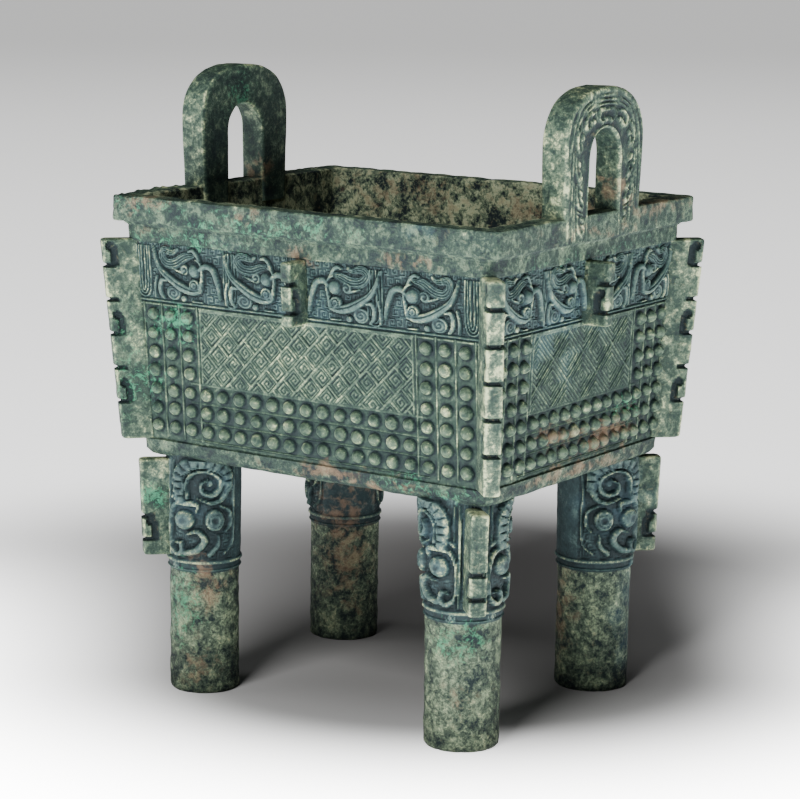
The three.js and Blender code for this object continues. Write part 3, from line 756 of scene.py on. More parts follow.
def patina_group():
    """The layered patina: groove fill, body, ridges, worn edges, blooms and crusts."""
    name = "Aged patina"
    if name in bpy.data.node_groups:
        return bpy.data.node_groups[name]
    tree = bpy.data.node_groups.new(name, "ShaderNodeTree")
    face = tree.interface
    face.new_socket("Place", in_out="INPUT", socket_type="NodeSocketVector")
    for socket, default in (("Rise", 0.5), ("Oxide", 0.0), ("Malachite", 0.0), ("Pale", 0.0), ("Azure", 0.0),
                            ("Mottle", 0.2), ("Speckle", 0.2), ("Grain", 0.2), ("Crust", 0.0), ("Wear", 0.0)):
        item = face.new_socket(socket, in_out="INPUT", socket_type="NodeSocketFloat")
        item.default_value = default
    colours = bpy.context.scene.fangding_patina
    for socket, key in (("Groove colour", "groove"), ("Body colour", "body"), ("Ridge colour", "ridge"),
                        ("Worn colour", "worn"), ("Oxide colour", "oxide"), ("Malachite colour", "malachite"),
                        ("Azure colour", "azure"), ("Earth colour", "earth")):
        item = face.new_socket(socket, in_out="INPUT", socket_type="NodeSocketColor")
        item.default_value = (*getattr(colours, key), 1.0)
    face.new_socket("Color", in_out="OUTPUT", socket_type="NodeSocketColor")
    face.new_socket("Roughness", in_out="OUTPUT", socket_type="NodeSocketFloat")
    face.new_socket("Height", in_out="OUTPUT", socket_type="NodeSocketFloat")
    n = Nodes(tree)
    given = n.add("NodeGroupInput").outputs
    out = n.add("NodeGroupOutput").inputs
    place = given["Place"]
    broad = n.ramp(n.noise(place, 62.0, 5.0, 0.62, 0.5), 0.34, 0.66)
    middle = n.ramp(n.noise(place, 190.0, 5.0, 0.65, 0.4), 0.34, 0.66)
    fine = n.ramp(n.noise(place, 900.0, 3.0, 0.7), 0.3, 0.7)
    spots = n.ramp(n.noise(place, 430.0, 5.0, 0.72, 0.6), 0.34, 0.66)
    level = n.math("MULTIPLY_ADD", n.math("SUBTRACT", middle, 0.5), given["Mottle"], given["Rise"])
    level = n.math("MULTIPLY_ADD", n.math("SUBTRACT", fine, 0.5), given["Grain"], level)
    level = n.math("MULTIPLY_ADD", n.math("SUBTRACT", spots, 0.5), given["Speckle"], level)
    level = n.math("MULTIPLY_ADD", n.math("SUBTRACT", broad, 0.5), n.math("MULTIPLY", given["Mottle"], 0.6), level)
    # Pale lifts the level towards the paler colours: pale patina, and on the handles' front strips a painted
    # highlight
    level = n.math("MULTIPLY_ADD", given["Pale"], 0.16, level)
    colour = n.mix(n.ramp(level, 0.22, 0.5), given["Groove colour"], given["Body colour"])
    colour = n.mix(n.ramp(level, 0.5, 0.72), colour, given["Ridge colour"])
    colour = n.mix(n.ramp(n.math("ADD", level, given["Wear"]), 0.72, 0.98), colour, given["Worn colour"])
    blue = n.ramp(n.math("MULTIPLY_ADD", n.math("SUBTRACT", broad, 0.5), 0.5, given["Azure"]), 0.3, 0.9)
    colour = n.mix(n.math("MULTIPLY", blue, 0.55), colour, n.mix(1.0, colour, given["Azure colour"], "SCREEN"))
    earth = n.ramp(n.math("MULTIPLY_ADD", n.math("SUBTRACT", spots, 0.5), 0.7, given["Crust"]), 0.45, 0.8)
    colour = n.mix(n.math("MULTIPLY", earth, 0.7), colour, given["Earth colour"])
    red = n.ramp(n.math("MULTIPLY_ADD", n.math("SUBTRACT", middle, 0.5), 0.7, given["Oxide"]), 0.38, 1.0)
    colour = n.mix(n.math("MULTIPLY", red, 0.62), colour, given["Oxide colour"])
    green = n.ramp(n.math("MULTIPLY_ADD", n.math("SUBTRACT", spots, 0.5), 0.8, given["Malachite"]), 0.5, 0.95)
    colour = n.mix(n.math("MULTIPLY", green, 0.8), colour, given["Malachite colour"])
    n.link(colour, out["Color"])
    n.link(n.math("SUBTRACT", 0.78, n.math("MULTIPLY", n.ramp(level, 0.35, 0.95), 0.3)), out["Roughness"])
    bumps = n.math("MULTIPLY_ADD", spots, 0.6, n.math("MULTIPLY", fine, 0.4))
    bumps = n.math("MULTIPLY_ADD", earth, 0.35, bumps)
    bumps = n.math("MULTIPLY_ADD", green, 0.4, bumps)
    n.link(bumps, out["Height"])
    return tree


# what each finish gives the patina group in place of its defaults
BUMP, GLOSS = 0.35, 0.16
FINISHES = {
    "carved_band_bronze": {"Mottle": 0.12, "Speckle": 0.14, "Grain": 0.12,
                           "Body colour": (0.0055, 0.0145, 0.0155), "Ridge colour": (0.022, 0.042, 0.036)},
    "nipple_wall_bronze": {"gloss": 0.14, "Grain": 0.12, "Crust": 0.14},
    "cast_body_bronze": {"bump": 0.8, "Mottle": 0.34, "Speckle": 0.26, "Crust": 0.2, "Wear": -0.08},
    "inner_crust_bronze": {"bump": 0.7, "Mottle": 0.4, "Speckle": 0.36, "Grain": 0.24, "Crust": 0.3,
                           "Body colour": (0.050, 0.068, 0.042), "Ridge colour": (0.16, 0.18, 0.11)},
    "handle_bronze": {"bump": 0.7, "Mottle": 0.3, "Speckle": 0.24, "Grain": 0.18, "Crust": 0.22},
    "leg_bronze": {"bump": 1.0, "Mottle": 0.3, "Speckle": 0.3, "Grain": 0.24, "Crust": 0.24,
                   "Body colour": (0.024, 0.036, 0.024), "Ridge colour": (0.070, 0.094, 0.058)},
    "mask_bronze": {"Mottle": 0.14, "Speckle": 0.16, "Grain": 0.12,
                    "Body colour": (0.005, 0.013, 0.0145), "Ridge colour": (0.020, 0.038, 0.034)},
    "flange_bronze": {"bump": 0.7, "Mottle": 0.26, "Grain": 0.16, "Crust": 0.24, "Wear": 0.02},
}


def bronze(name):
    """One bronze finish: the patina group with this finish's own amounts."""
    if name in bpy.data.materials:
        return bpy.data.materials[name]
    values = dict(FINISHES[name])
    bump, gloss = values.pop("bump", BUMP), values.pop("gloss", GLOSS)
    material = bpy.data.materials.new(name)
    material.use_nodes = True
    material.node_tree.nodes.clear()
    n = Nodes(material.node_tree)
    output = n.add("ShaderNodeOutputMaterial")
    shader = n.add("ShaderNodeBsdfPrincipled")
    shader.inputs["Specular IOR Level"].default_value = gloss
    group = n.add("ShaderNodeGroup", node_tree=patina_group())
    n.link(n.add("ShaderNodeTexCoord").outputs["Object"], group.inputs["Place"])
    for socket, mark in (("Rise", "rise"), ("Oxide", "oxide"), ("Malachite", "malachite"), ("Pale", "pale"),
                         ("Azure", "azure")):
        n.link(n.add("ShaderNodeAttribute", attribute_name=mark).outputs["Fac"], group.inputs[socket])
    for socket, value in values.items():
        item = group.inputs[socket]
        item.default_value = (*value, 1.0) if isinstance(value, tuple) else value
    n.link(group.outputs["Color"], shader.inputs["Base Color"])
    n.link(group.outputs["Roughness"], shader.inputs["Roughness"])
    bump_node = n.add("ShaderNodeBump")
    bump_node.inputs["Strength"].default_value = bump
    bump_node.inputs["Distance"].default_value = 0.0004
    n.link(group.outputs["Height"], bump_node.inputs["Height"])
    n.link(bump_node.outputs["Normal"], shader.inputs["Normal"])
    n.link(shader.outputs["BSDF"], output.inputs["Surface"])
    return material


# ------------------------------------------------------------ where surfaces lie

def wall_half(axis, z):
    """Half size of the body in millimetres at height z: the walls lean out as they rise."""
    s = body_sizes()
    low, high = (s.wall_low_x, s.wall_high_x) if axis == "x" else (s.wall_low_y, s.wall_high_y)
    share = (z - s.wall_low_z / MM) / ((s.wall_high_z - s.wall_low_z) / MM)
    return (low + share * (high - low)) / MM


def turn_side(side, along, out, z):
    """Places on a wall: side 0 faces -y and each next side is a quarter turn on."""
    x, y = along, -out
    for _ in range(side):
        x, y = -y, x
    return np.stack([x, y, z], -1)


def wall_sheet(name, side, levels, step, relief, material):
    """One carved wall zone as a closed slab. levels are its lattice heights in millimetres."""
    across, outward = ("x", "y") if side % 2 == 0 else ("y", "x")
    half = wall_half(across, levels[len(levels) // 2]) - 2.4
    columns = int(round(2 * half / step))
    piece, order = lattice(name, columns, len(levels) - 1)
    share = np.linspace(-1, 1, columns + 1)[None, :]
    z = np.asarray(levels)[:, None] + 0 * share
    u = share * (wall_half(across, z) - 2.4)
    flat = turn_side(side, u, wall_half(outward, z), z)
    rise = relief(u, z, flat)
    rise = rise + 0.10 * rough(flat, 9.0, 2, 5) + 0.05 * rough(flat, 1.4, 2, 6)
    places = turn_side(side, u, wall_half(outward, z) + rise, z)
    marks = stain_marks(flat)
    marks["rise"] = wear(rise, max(2, round(1.0 / step)), max(4, round(3.2 / step)))
    shape(piece, places, order, marks)
    back = turn_side(side, np.array(0.0), np.array(-1.9), np.array(0.0)) * MM
    close_slab(piece, tuple(back))
    finish_piece(piece, material)


# ------------------------------------------------------------ operators

class FANGDING_OT_walls(bpy.types.Operator):
    """Carve the bird bands, fret panels and nipple rows of the four walls"""
    bl_idname = "fangding.walls"
    bl_label = "Carved walls"

    def execute(self, context):
        s, o = body_sizes(), ornament_sizes()
        low, foot, high = s.base_top / MM - 0.5, o.band_foot / MM + 0.1, s.neck_bottom / MM - 0.05
        band, lower = bronze("carved_band_bronze"), bronze("nipple_wall_bronze")
        for side, name in enumerate(SIDES):
            kind = "long" if side % 2 == 0 else "short"
            step = (o.fine_step if side < 2 else o.coarse_step) / MM
            rows = int((high - foot) / (step * 0.95))
            wall_sheet(f"bird_band_{name}", side, np.linspace(foot, high, rows + 1), step,
                       lambda u, z, p, kind=kind: band_relief(kind, u, z), band)
            rows = int((foot - low) / (step * 1.15))
            wall_sheet(f"fret_and_nipples_{name}", side, np.linspace(low, foot, rows + 1), step * 1.15,
                       lambda u, z, p, kind=kind: lower_relief(kind, u, z, p), lower)
        return {"FINISHED"}


# the zones of the body's section; the hidden one lies behind the carved walls
BASE, NECK, RIM, INSIDE, HIDDEN = range(5)


class FANGDING_OT_body(bpy.types.Operator):
    """Cast the hollow body with its base strip, neck, rim and inner walls"""
    bl_idname = "fangding.body"
    bl_label = "Body and rim"

    def execute(self, context):
        s = body_sizes()
        mm = {key: getattr(s, key) / MM for key in s.__annotations__}
        rings = self.section(mm)
        count = 404
        piece, order = lattice("vessel_body", count, len(rings) - 1)
        x, y, z, corner, zone = (np.array([r[k] for r in rings])[:, None] for k in range(5))
        places, normal = self.ring(x, y, corner, z, count + 1)
        lumps = rough(places, 7.0, 4, 21)
        pits = np.minimum(0.0, rough(places, 3.4, 3, 22) + 0.45)
        amount = np.select([zone == BASE, zone == NECK, zone == RIM, zone == INSIDE], [0.22, 0.28, 0.34, 0.45], 0.2)
        left_crust = np.exp(-(((places - np.array([-88, -60, 223])) / np.array([26, 46, 9])) ** 2).sum(-1))
        rise = amount * lumps + 0.9 * amount * pits
        rise = rise + (zone == RIM) * left_crust * 0.9 * np.maximum(0.0, rough(places, 2.6, 2, 23))
        rise = np.where(zone == HIDDEN, 0.0, rise)
        rise[0], rise[-1] = 0, 0
        placed = places + normal * rise[..., None]
        marks = stain_marks(places)
        marks["rise"] = np.clip(0.5 + 0.14 * lumps + 0.35 * pits + 0.25 * self.edge_wear(z, zone), 0, 1)
        shape(piece, placed, order, marks)
        close_tube(piece)
        finish_piece(piece, bronze("cast_body_bronze"), 40.0)
        second_finish(piece, bronze("inner_crust_bronze"), lambda x, y, z: (
            (np.abs(x) < wall_half("x", z) - 4.6) & (np.abs(y) < wall_half("y", z) - 4.6)
            & (z > mm["floor"] - 1.5)))
        return {"FINISHED"}

    @staticmethod
    def section(mm):
        """The body's section from the middle of its underside, up outside, over the rim and down
        inside to the middle of the floor: half sizes, height, corner radius and zone."""
        def wall(z, proud=0.0, corner=mm["corner"]):
            return wall_half("x", z) + proud, wall_half("y", z) + proud, z, corner

        def neck(proud, z, corner=mm["corner"]):
            return mm["neck_x"] + proud, mm["neck_y"] + proud, z, corner

        def rim(inset, z):
            return mm["rim_x"] - inset, mm["rim_y"] - inset, z, 3.5

        under, base, foot = mm["underside"], mm["base_top"], mm["neck_bottom"]
        top, low, floor, thick = mm["rim_top"], mm["rim_bottom"], mm["floor"], -mm["wall_thickness"]
        inner = wall(top - 0.6, thick, 5)
        lip = (inner[0] + 0.6, inner[1] + 0.6, top, 5)
        # each stretch: its steps, where it starts, its zone
        path = [
            (8, (20, 8, under, 2), BASE), (2, wall(under, -3), BASE), (2, wall(under + 0.9, -0.9), BASE),
            (4, wall(under + 3, 0.7), BASE), (1, wall(base - 0.3, 0.7), BASE), (1, wall(base, 0.3), BASE),
            (2, wall(base + 0.2, -1.5), HIDDEN), (1, wall(foot - 0.2, -1.5), NECK), (1, neck(-0.4, foot), NECK),
            (5, neck(0, foot + 0.5), NECK), (2, neck(0, low - 1.8), NECK), (2, neck(1.8, low, 4), NECK),
            (1, rim(0.9, low), RIM), (1, rim(0.2, low + 0.3), RIM), (7, rim(0, low + 0.9), RIM),
            (1, rim(0, top - 0.9), RIM), (1, rim(0.3, top - 0.25), RIM), (8, rim(0.9, top), RIM),
            (1, lip, INSIDE), (46, inner, INSIDE), (3, wall(floor + 4, thick, 5), INSIDE),
            (2, wall(floor + 1.2, thick - 1.2, 5), INSIDE), (20, wall(floor, thick - 4, 4), INSIDE),
            (0, (18, 6, floor, 2), INSIDE)]
        rings = []
        for (steps, start, zone), (_, end, _) in zip(path, path[1:]):
            for i in range(steps):
                rings.append([a + (b - a) * (i / steps) for a, b in zip(start, end)] + [zone])
        rings.append([*path[-1][1], INSIDE])
        return rings

    @staticmethod
    def ring(x, y, corner, z, width):
        """Places and outward directions round each ring, starting at the middle of the right side."""
        share = np.linspace(0, 1, width)[None, :] + 0 * x
        lx, ly = x - corner, y - corner
        # each side and corner arc gets the same share of points whatever the ring's size
        stops = (0.1025, 0.1275, 0.3725, 0.3975, 0.6025, 0.6275, 0.8725, 0.8975, 1.0)
        px, py, nx, ny = (np.zeros(share.shape) for _ in range(4))
        start = 0.0
        spans = [("side", 1, 0, 1), ("arc", 1, 1, 0), ("side", 0, 1, 2), ("arc", -1, 1, 1), ("side", -1, 0, 2),
                ("arc", -1, -1, 2), ("side", 0, -1, 2), ("arc", 1, -1, 3), ("side", 1, 0, 3)]
        for (kind, a, b, extra), end in zip(spans, stops):
            t = (share - start) / (end - start)
            here = (share >= start - 1e-12) & (share <= end + 1e-12)
            if kind == "arc":
                angle = (extra + t) * math.pi / 2
                qx, qy = a * lx + corner * np.cos(angle), b * ly + corner * np.sin(angle)
                mx, my = np.cos(angle), np.sin(angle)
            else:
                mx, my = a + 0 * t, b + 0 * t
                if a:
                    from_y, to_y = {1: (0, 1), 2: (1, -1), 3: (-1, 0)}[extra]
                    qx, qy = a * x + 0 * t, ly * (from_y + (to_y - from_y) * t)
                else:
                    qx, qy = (lx * (1 - 2 * t) if b > 0 else lx * (2 * t - 1)), b * y + 0 * t
            px, py = np.where(here, qx, px), np.where(here, qy, py)
            nx, ny = np.where(here, mx, nx), np.where(here, my, ny)
            start = end
        places = np.stack([px, py, z + 0 * px], -1)
        # tilt the outward direction by the slope of the section
        dz = np.gradient((z + 0 * px), axis=0)
        dr = np.gradient(px * nx + py * ny, axis=0)
        run = np.maximum(np.hypot(dz, dr), 1e-6)
        normal = np.stack([nx * dz / run, ny * dz / run, -dr / run], -1)
        return places, normal

    @staticmethod
    def edge_wear(z, zone):
        """How rubbed the rim's flat top is."""
        return 0.5 * np.exp(-((z - z.max()) / 0.9) ** 2) * (zone == RIM)


class FANGDING_OT_handles(bpy.types.Operator):
    """Model both loop handles, with their carved outer faces"""
    bl_idname = "fangding.handles"
    bl_label = "Handles"

    def execute(self, context):
        s = context.scene.fangding_handle
        mm = {key: getattr(s, key) / MM for key in s.__annotations__ if key != "lean"}
        for name, turn in (("handle_right", 1), ("handle_left", -1)):
            self.loop(name, turn, mm, math.tan(s.lean), bronze("handle_bronze"))
        return {"FINISHED"}

    @staticmethod
    def loop(name, turn, mm, lean, material):
        rows = 160
        share = np.linspace(-1, 1, rows + 1)
        contour, foot = FANGDING_OT_handles.contour, mm["foot"] - 3
        outer = contour(share, foot, mm["shoulder"], mm["top"], mm["foot_half"], mm["shoulder_half"], 2.5)
        inner = contour(share, foot, mm["spring"], mm["opening_top"], mm["opening_half"], mm["opening_half"], 2.0)
        thick = mm["outer"] - mm["inner"]
        section = box_section(20, 1, 26)
        piece, order = lattice(name, len(section) - 1, rows)
        middle, reach = (outer + inner) / 2, outer - inner
        broad = np.hypot(*reach.T)[:, None]
        a = section[None, :, 0] * thick + 0 * broad
        b = section[None, :, 1] * broad
        da, db = thick / 2 - np.abs(a), broad / 2 - np.abs(b)
        corner, in_a, in_b, _, _ = eased(da, db, 1.9)
        a = np.where(corner, np.sign(a) * (thick / 2 - in_a), a)
        b = np.where(corner, np.sign(b) * (broad / 2 - in_b), b)
        toward = (reach / broad)[:, None]
        y = middle[:, None, 0] + toward[..., 0] * b
        z = middle[:, None, 1] + toward[..., 1] * b
        x = (mm["inner"] + mm["outer"]) / 2 + a + lean * (z - mm["foot"])
        places = np.stack([x, y, z], -1)
        face = smooth(thick / 2 - 0.8, thick / 2 - 0.1, a)          # 1 on the outer, carved face
        run = np.concatenate([[0], np.cumsum(np.hypot(*np.diff(middle, axis=0).T))])[:, None] + 0 * a
        from_edge = broad / 2 - b
        rise = FANGDING_OT_handles.carving(from_edge, run - run.mean(), broad) * face
        lumps = rough(places, 6.0, 4, 31)
        # faces move along x, the loop's outside and inside move across the arch
        side = np.sign(a) * (np.abs(a) > thick / 2 - 0.3)
        across = (1 - np.abs(side)) * np.sign(b) * 0.22 * lumps
        moved = places + np.stack([side * (rise + 0.12 * lumps), *np.moveaxis(toward * across[..., None], -1, 0)], -1)
        edge = 1 - smooth(0.4, 2.2, np.hypot(np.minimum(da, 3), np.minimum(db, 3)))
        marks = stain_marks(places * np.array([turn, turn, 1]))
        rubbed = 0.10 * (1 - face) * (np.abs(b) > broad / 2 - 0.4)
        marks["rise"] = np.clip(wear(rise, 2, 5) + 0.08 * lumps + 0.14 * edge + rubbed, 0, 1)
        moved[..., :2] *= turn
        shape(piece, moved, order, marks)
        close_tube(piece)
        finish_piece(piece, material, 45.0)

    @staticmethod
    def contour(share, foot, shoulder, top, foot_half, shoulder_half, fullness):
        """One edge of the arch: up a post, round the head and down the other post."""
        post = shoulder - foot
        bend = 0.5 * math.pi * 0.5 * (shoulder_half + top - shoulder)
        split = post / (post + bend)
        points = []
        for t in share:
            hand = 1 if t >= 0 else -1
            up = (1 - abs(t)) / split
            if up <= 1:
                points.append((hand * (foot_half + (shoulder_half - foot_half) * up), foot + post * up))
            else:
                angle = (1 - abs(t) - split) / (1 - split) * math.pi / 2
                across = max(math.cos(angle), 0.0) ** (2 / fullness)
                points.append((hand * shoulder_half * across,
                               shoulder + (top - shoulder) * math.sin(angle) ** (2 / fullness)))
        return np.array(points)

    @staticmethod
    def carving(from_edge, run, broad):
        """The outer face: a plain border, three cords along the arch and a row of curled figures."""
        lines = np.cos(2 * math.pi * (from_edge - 3.2) / 1.9)
        cords = (from_edge > 2.3) & (from_edge < 8.0)
        height = np.where(cords, ridge_wave(lines, 0.75), 0.0)
        figures = Relief(np.abs(run), from_edge)
        for k in range(7):
            at = 4.5 + 11.5 * k
            figures.strip([(at - 4.6, 9.6), (at - 1.0, 9.2), (at + 2.4, 10.6), (at + 3.0, 13.4), (at + 0.2, 14.6),
                           (at - 1.6, 12.6)], [1.2, 1.7, 2.0, 2.0, 1.7, 1.0], 0.2, crown=0.5)
            figures.dome(at - 3.6, 13.4, 1.4, 0.3)
            figures.strip([(at + 5.2, 9.4), (at + 5.0, 14.6)], [0.8, 0.8], -0.1)
        inner = figures.over(np.full(run.shape, -0.75), moat=0.5, floor=-0.8)
        height = np.where((from_edge >= 8.0) & (from_edge < broad - 1.6), inner, height)
        return height


class FANGDING_OT_legs(bpy.types.Operator):
    """Model the four legs with their horned masks and rings"""
    bl_idname = "fangding.legs"
    bl_label = "Legs and masks"

    def execute(self, context):
        s = context.scene.fangding_leg
        mm = {key: getattr(s, key) / MM for key in s.__annotations__}
        fuller = {"front_left": -0.6, "front_right": 0.0, "back_right": 0.4, "back_left": 0.2}
        for name, (sx, sy) in CORNERS.items():
            self.leg(f"leg_{name}", sx, sy, mm, fuller[name])
        return {"FINISHED"}

    @staticmethod
    def leg(name, sx, sy, mm, fuller):
        """A leg, plain below the joint and carved above it. fuller adds to its radius."""
        joint, carved = 56.0, 2.36      # joint height, and the carved angle either side of the nose
        behind = np.linspace(carved, math.pi, 14)[1:]
        angle = np.concatenate([-behind[::-1], np.linspace(-carved, carved, 121), behind])
        z = np.concatenate([[0.0, 0.25, 0.9], np.linspace(2, joint, 46), np.linspace(joint + 0.6, 111.5, 86)])
        piece, order = lattice(name, len(angle) - 1, len(z) - 1)
        angle, z = angle[None, :] + 0 * z[:, None], z[:, None] + 0 * angle[None, :]
        low = mm["radius"] + fuller
        share = np.clip((z - mm["ring"]) / (mm["top"] - mm["ring"]), 0, 1)
        upper = mm["radius"] + mm["ring_proud"] + (mm["swell"] - mm["ring_proud"]) * share + fuller
        radius = np.where(z > joint, upper, low)
        u = angle * (mm["radius"] + 1.0 + fuller)
        around = math.atan2(sy, sx) + angle
        flat = np.stack([sx * mm["x"] + radius * np.cos(around), sy * mm["y"] + radius * np.sin(around), z], -1)
        crust = 0.26 * rough(flat, 5.0, 4, 51) + 0.5 * np.minimum(0, rough(flat, 2.6, 2, 52) + 0.35)
        rise = np.where(z > joint, mask_relief(u, z, flat), crust)
        rise = rise - 0.9 * (1 - smooth(0.0, 1.2, z))
        rise = np.where(z > 108, np.minimum(rise, 0.4), rise)
        reach = radius + rise
        places = np.stack([sx * mm["x"] + reach * np.cos(around), sy * mm["y"] + reach * np.sin(around), z], -1)
        marks = stain_marks(flat)
        marks["rise"] = np.where(z > joint, wear(rise, 2, 6), np.clip(0.48 + 0.45 * crust, 0, 1))
        shape(piece, places, order, marks)
        close_tube(piece)
        finish_piece(piece, bronze("leg_bronze"), 55.0)
        second_finish(piece, bronze("mask_bronze"), lambda x, y, z: z > joint + 0.2)


class FANGDING_OT_flanges(bpy.types.Operator):
    """Model the notched flanges on the corners, on the bird bands and on the masks"""
    bl_idname = "fangding.flanges"
    bl_label = "Flanges"

    def execute(self, context):
        leg = context.scene.fangding_leg
        diagonal = math.sqrt(0.5)
        for name, (sx, sy) in CORNERS.items():
            def corner(r, t, z, sx=sx, sy=sy):
                return np.stack([sx * (wall_half("x", z) + diagonal * (r + t)),
                                 sy * (wall_half("y", z) + diagonal * (r - t)), z], -1)
            self.plate(f"flange_{name}", corner, -4.0, (114.8, 204.5), (9.8, 11.8), 7.4,
                       (132, 147.2, 162.4, 177.6, 193), (0, 2, 4))
            axis = math.atan2(sy, sx)

            def nose(r, t, z, sx=sx, sy=sy, axis=axis):
                return np.stack([sx * leg.x / MM + r * math.cos(axis) - t * math.sin(axis),
                                 sy * leg.y / MM + r * math.sin(axis) + t * math.cos(axis), z], -1)
            self.plate(f"mask_nose_{name}", nose, 14.0, (62, 106), (27.7, 29.3), 7.6, (69.5, 80.2), (0,))
        for side, name in enumerate(SIDES):
            outward = "y" if side % 2 == 0 else "x"

            def middle(r, t, z, side=side, outward=outward):
                return turn_side(side, t, wall_half(outward, z) + r, z)
            self.plate(f"flange_mid_{name}", middle, -2.5, (175.5, 203.2), (11.8, 11.8), 5.4, (181.5, 194), (0,))
        return {"FINISHED"}

    @staticmethod
    def plate(name, place, root, span, project, thickness, notches, hooked):
        """An upright plate with eased edges, its notches and hooked slots sunk into its faces.
        place turns r outwards, t across and z up into a place on the vessel. project is how far the
        plate reaches at its foot and at its top, hooked says which notches have a slot above them."""
        step, ease, end_ease, sunk = 0.8, 1.5, 1.4, 2.0
        low, high = span
        z = np.linspace(low, high, int((high - low) / step) + 1)
        ends = np.array([0.0, 0.35, 0.8])
        z = np.unique(np.concatenate([z, low + ends, high - ends]))
        section = box_section(int(thickness / step), 4, int((max(project) - root) / step))
        piece, order = lattice(name, len(section) - 1, len(z) - 1)
        edge = np.interp(z, span, project)[:, None]
        zz = z[:, None] + 0 * section[None, :, 0]
        half_r, half_t = (edge - root) / 2, thickness / 2 + 0 * edge
        a, b = section[None, :, 0] * 2 * half_r, section[None, :, 1] * 2 * half_t
        # ease the outer corners of the section and both ends of the plate
        from_end = np.minimum(zz - low, high - zz)
        shrink = end_ease - np.sqrt(np.maximum(0, end_ease ** 2 - np.clip(end_ease - from_end, 0, end_ease) ** 2))
        da, db = half_r - a, half_t - np.abs(b)
        corner, in_a, in_b, out_a, out_b = eased(da, db, ease)
        a = np.where(corner, half_r - in_a, a)
        b = np.where(corner, np.sign(b) * (half_t - in_b), b)
        a = np.where(a > 0, a - shrink, a)
        b = np.sign(b) * np.maximum(np.abs(b) - shrink, 0.3)
        r = a + root + half_r
        places = place(r, b, zz)
        from_edge = edge - r
        cut = np.zeros(r.shape)
        for k, notch in enumerate(notches):
            across = 1 - smooth(0.6, 1.2, np.abs(zz - notch))
            cut = np.maximum(cut, across * (1 - smooth(5.2, 5.8, from_edge)))
            if k in hooked:
                upright = 1 - smooth(1.0, 1.7, np.abs(from_edge - 5.4))
                length = smooth(notch - 0.6, notch, zz) * (1 - smooth(notch + 8, notch + 8.6, zz))
                cut = np.maximum(cut, upright * length)
                tip = 1 - smooth(0.5, 1.0, np.hypot((from_edge - 4.0), (zz - notch - 8.2)) - 1.2)
                cut = np.maximum(cut, tip)
        lumps = rough(places, 5.0, 4, 71)
        rise = -sunk * cut + 0.17 * lumps
        on_end = np.abs(b) < half_t - ease
        outward_r = np.where(on_end & (a > 0), 1.0, 0.0)
        outward_t = np.where(on_end, 0.0, np.sign(b))
        outward_r = np.where(corner, out_a, outward_r)
        outward_t = np.where(corner, np.sign(b) * out_b, outward_t)
        placed = place(r + outward_r * rise, b + outward_t * rise, zz)
        from_corner = np.hypot(np.minimum(da, 3), np.minimum(db, 3))
        rim = 1 - smooth(0.2, 2.0, np.minimum(from_corner, from_end))
        marks = stain_marks(places)
        marks["rise"] = np.clip(0.56 - 0.85 * cut + 0.12 * lumps + 0.20 * rim, 0, 1)
        shape(piece, placed, order, marks)
        close_tube(piece)
        finish_piece(piece, bronze("flange_bronze"))


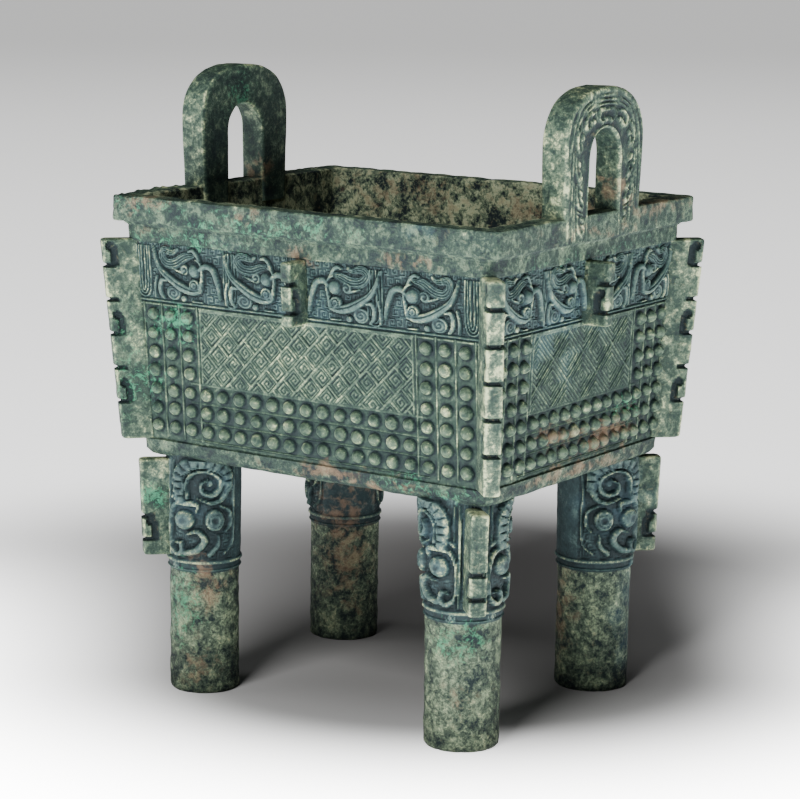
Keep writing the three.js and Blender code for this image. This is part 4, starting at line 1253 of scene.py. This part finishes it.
class FANGDING_OT_stage(bpy.types.Operator):
    """Lay the pale floor and set the soft lights and the camera"""
    bl_idname = "fangding.stage"
    bl_label = "Stage"

    def execute(self, context):
        s = context.scene.fangding_stage
        self.floor(s)
        for name, place, size, power in (("key_light", (0.14, -1.42, 1.36), 0.7, s.key_power),
                                         ("fill_light", (-1.45, -1.05, 1.1), 0.9, s.fill_power),
                                         ("top_light", (0.1, 0.1, 1.8), 0.6, s.top_power)):
            self.light(name, Vector(place), size, power)
        world = bpy.data.worlds.new("room_light")
        world.use_nodes = True
        background = world.node_tree.nodes["Background"]
        background.inputs["Color"].default_value = (0.95, 0.97, 1.0, 1.0)
        background.inputs["Strength"].default_value = s.room
        context.scene.world = world
        self.camera(context.scene)
        return {"FINISHED"}

    @staticmethod
    def floor(s):
        bpy.ops.object.select_all(action="DESELECT")
        bpy.ops.mesh.primitive_plane_add(size=24.0, location=(0, 0, 0))
        piece = bpy.context.object
        piece.name = piece.data.name = "pale_floor"
        material = bpy.data.materials.new("pale_floor")
        material.use_nodes = True
        n = Nodes(material.node_tree)
        shader = material.node_tree.nodes["Principled BSDF"]
        place = n.add("ShaderNodeTexCoord").outputs["Object"]
        apart = n.add("ShaderNodeSeparateXYZ")
        n.link(place, apart.inputs[0])
        # depth runs away from the camera along the floor and across runs to its right
        x, y = apart.outputs["X"], apart.outputs["Y"]
        depth = n.math("MULTIPLY_ADD", y, 0.82, n.math("MULTIPLY", x, -0.57))
        across = n.math("MULTIPLY_ADD", x, 0.82, n.math("MULTIPLY", y, 0.57))
        # painted falloff: the floor's colour greys with depth, standing in for light falling off away from the lamps
        colour = n.mix(n.ramp(depth, -0.2, 1.6), (*s.floor_near, 1.0), (*s.floor_far, 1.0))
        # painted glow: the floor glows by its own emission, though it is no lamp, as a lit table does, brightest near
        # and falling off with depth, everywhere but where the vessel's shadow lies
        half = 0.5 * s.backdrop_glow
        backdrop = n.math("MULTIPLY_ADD", n.ramp(depth, 5.0, 0.5), half, half)
        bright = n.math("MULTIPLY_ADD", n.ramp(depth, 0.28, -0.12), s.table_glow, backdrop)
        # painted shadow: away is how far a floor place lies from the zone behind the vessel where its shadow is
        # painted, and the glow is cut inside that zone
        wide = n.math("SUBTRACT", across, 0.02)
        deep = n.math("SUBTRACT", depth, n.math("MINIMUM", n.math("MAXIMUM", depth, 0.02), 0.22))
        away = n.math("SQRT", n.math("ADD", n.math("MULTIPLY", n.math("MULTIPLY", wide, wide), 0.55),
                                     n.math("MULTIPLY", deep, deep)))
        n.link(n.math("MULTIPLY", bright, n.ramp(away, 0.08, 0.26)), shader.inputs["Emission Strength"])
        # painted shadow: inside that zone the floor's colour darkens to this shaded tone
        shaded = (0.15, 0.147, 0.144, 1.0)
        n.link(n.mix(n.ramp(away, 0.02, 0.3), shaded, colour), shader.inputs["Base Color"])
        shader.inputs["Emission Color"].default_value = (1.0, 1.0, 0.99, 1.0)
        shader.inputs["Roughness"].default_value = 0.75
        shader.inputs["Specular IOR Level"].default_value = 0.2
        piece.data.materials.append(material)

    @staticmethod
    def light(name, place, size, power):
        """A square soft light turned towards the middle of the vessel."""
        bpy.ops.object.select_all(action="DESELECT")
        bpy.ops.object.light_add(type="AREA", location=place)
        lamp = bpy.context.object
        lamp.name = lamp.data.name = name
        lamp.data.size = size
        lamp.data.energy = power
        lamp.rotation_euler = (Vector((0.0, 0.0, 0.14)) - place).to_track_quat("-Z", "Y").to_euler()

    @staticmethod
    def camera(scene):
        """A long lens a little above the rim, seeing the front and the right side."""
        bpy.ops.object.select_all(action="DESELECT")
        bpy.ops.object.camera_add(location=(0.66006, -0.97935, 0.35981))
        camera = bpy.context.object
        camera.name = "camera"
        azimuth, elevation, roll = (math.radians(a) for a in (34.826, 11.789, 0.661))
        back = Vector((math.sin(azimuth) * math.cos(elevation), -math.cos(azimuth) * math.cos(elevation),
                       math.sin(elevation)))
        right = Vector((math.cos(azimuth), math.sin(azimuth), 0.0))
        up = back.cross(right)
        level = right * math.cos(roll) + up * math.sin(roll)
        upright = up * math.cos(roll) - right * math.sin(roll)
        camera.rotation_euler = Matrix((level, upright, back)).transposed().to_euler()
        camera.data.lens = 121.07
        camera.data.sensor_width = 36.0
        camera.data.shift_x = 0.0463
        camera.data.shift_y = 0.0500
        camera.data.clip_end = 50.0
        scene.camera = camera


class FANGDING_PT_panel(bpy.types.Panel):
    bl_label = "Bronze fangding"
    bl_idname = "FANGDING_PT_panel"
    bl_space_type = "VIEW_3D"
    bl_region_type = "UI"
    bl_category = "Fangding"

    def draw(self, context):
        scene = context.scene
        for operator in OPERATORS:
            self.layout.operator(operator.bl_idname)
        for name in SETTINGS:
            box = self.layout.box()
            group = getattr(scene, name)
            for key in group.__annotations__:
                box.prop(group, key)


OPERATORS = (FANGDING_OT_body, FANGDING_OT_walls, FANGDING_OT_handles, FANGDING_OT_legs, FANGDING_OT_flanges,
             FANGDING_OT_stage)
SETTINGS = {
    "fangding_body": FangdingBodySizes, "fangding_leg": FangdingLegSizes, "fangding_handle": FangdingHandleSizes,
    "fangding_ornament": FangdingOrnamentSizes, "fangding_patina": FangdingPatinaColours,
    "fangding_stage": FangdingStage,
}


def register():
    for group in SETTINGS.values():
        bpy.utils.register_class(group)
    for operator in OPERATORS:
        bpy.utils.register_class(operator)
    bpy.utils.register_class(FANGDING_PT_panel)
    for name, group in SETTINGS.items():
        setattr(bpy.types.Scene, name, PointerProperty(type=group))


def unregister():
    for name in SETTINGS:
        delattr(bpy.types.Scene, name)
    bpy.utils.unregister_class(FANGDING_PT_panel)
    for cls in (*reversed(OPERATORS), *reversed(tuple(SETTINGS.values()))):
        bpy.utils.unregister_class(cls)


def main():
    register()
    bpy.ops.fangding.body()
    bpy.ops.fangding.walls()
    bpy.ops.fangding.handles()
    bpy.ops.fangding.legs()
    bpy.ops.fangding.flanges()
    bpy.ops.fangding.stage()


if __name__ == "__main__":
    main()
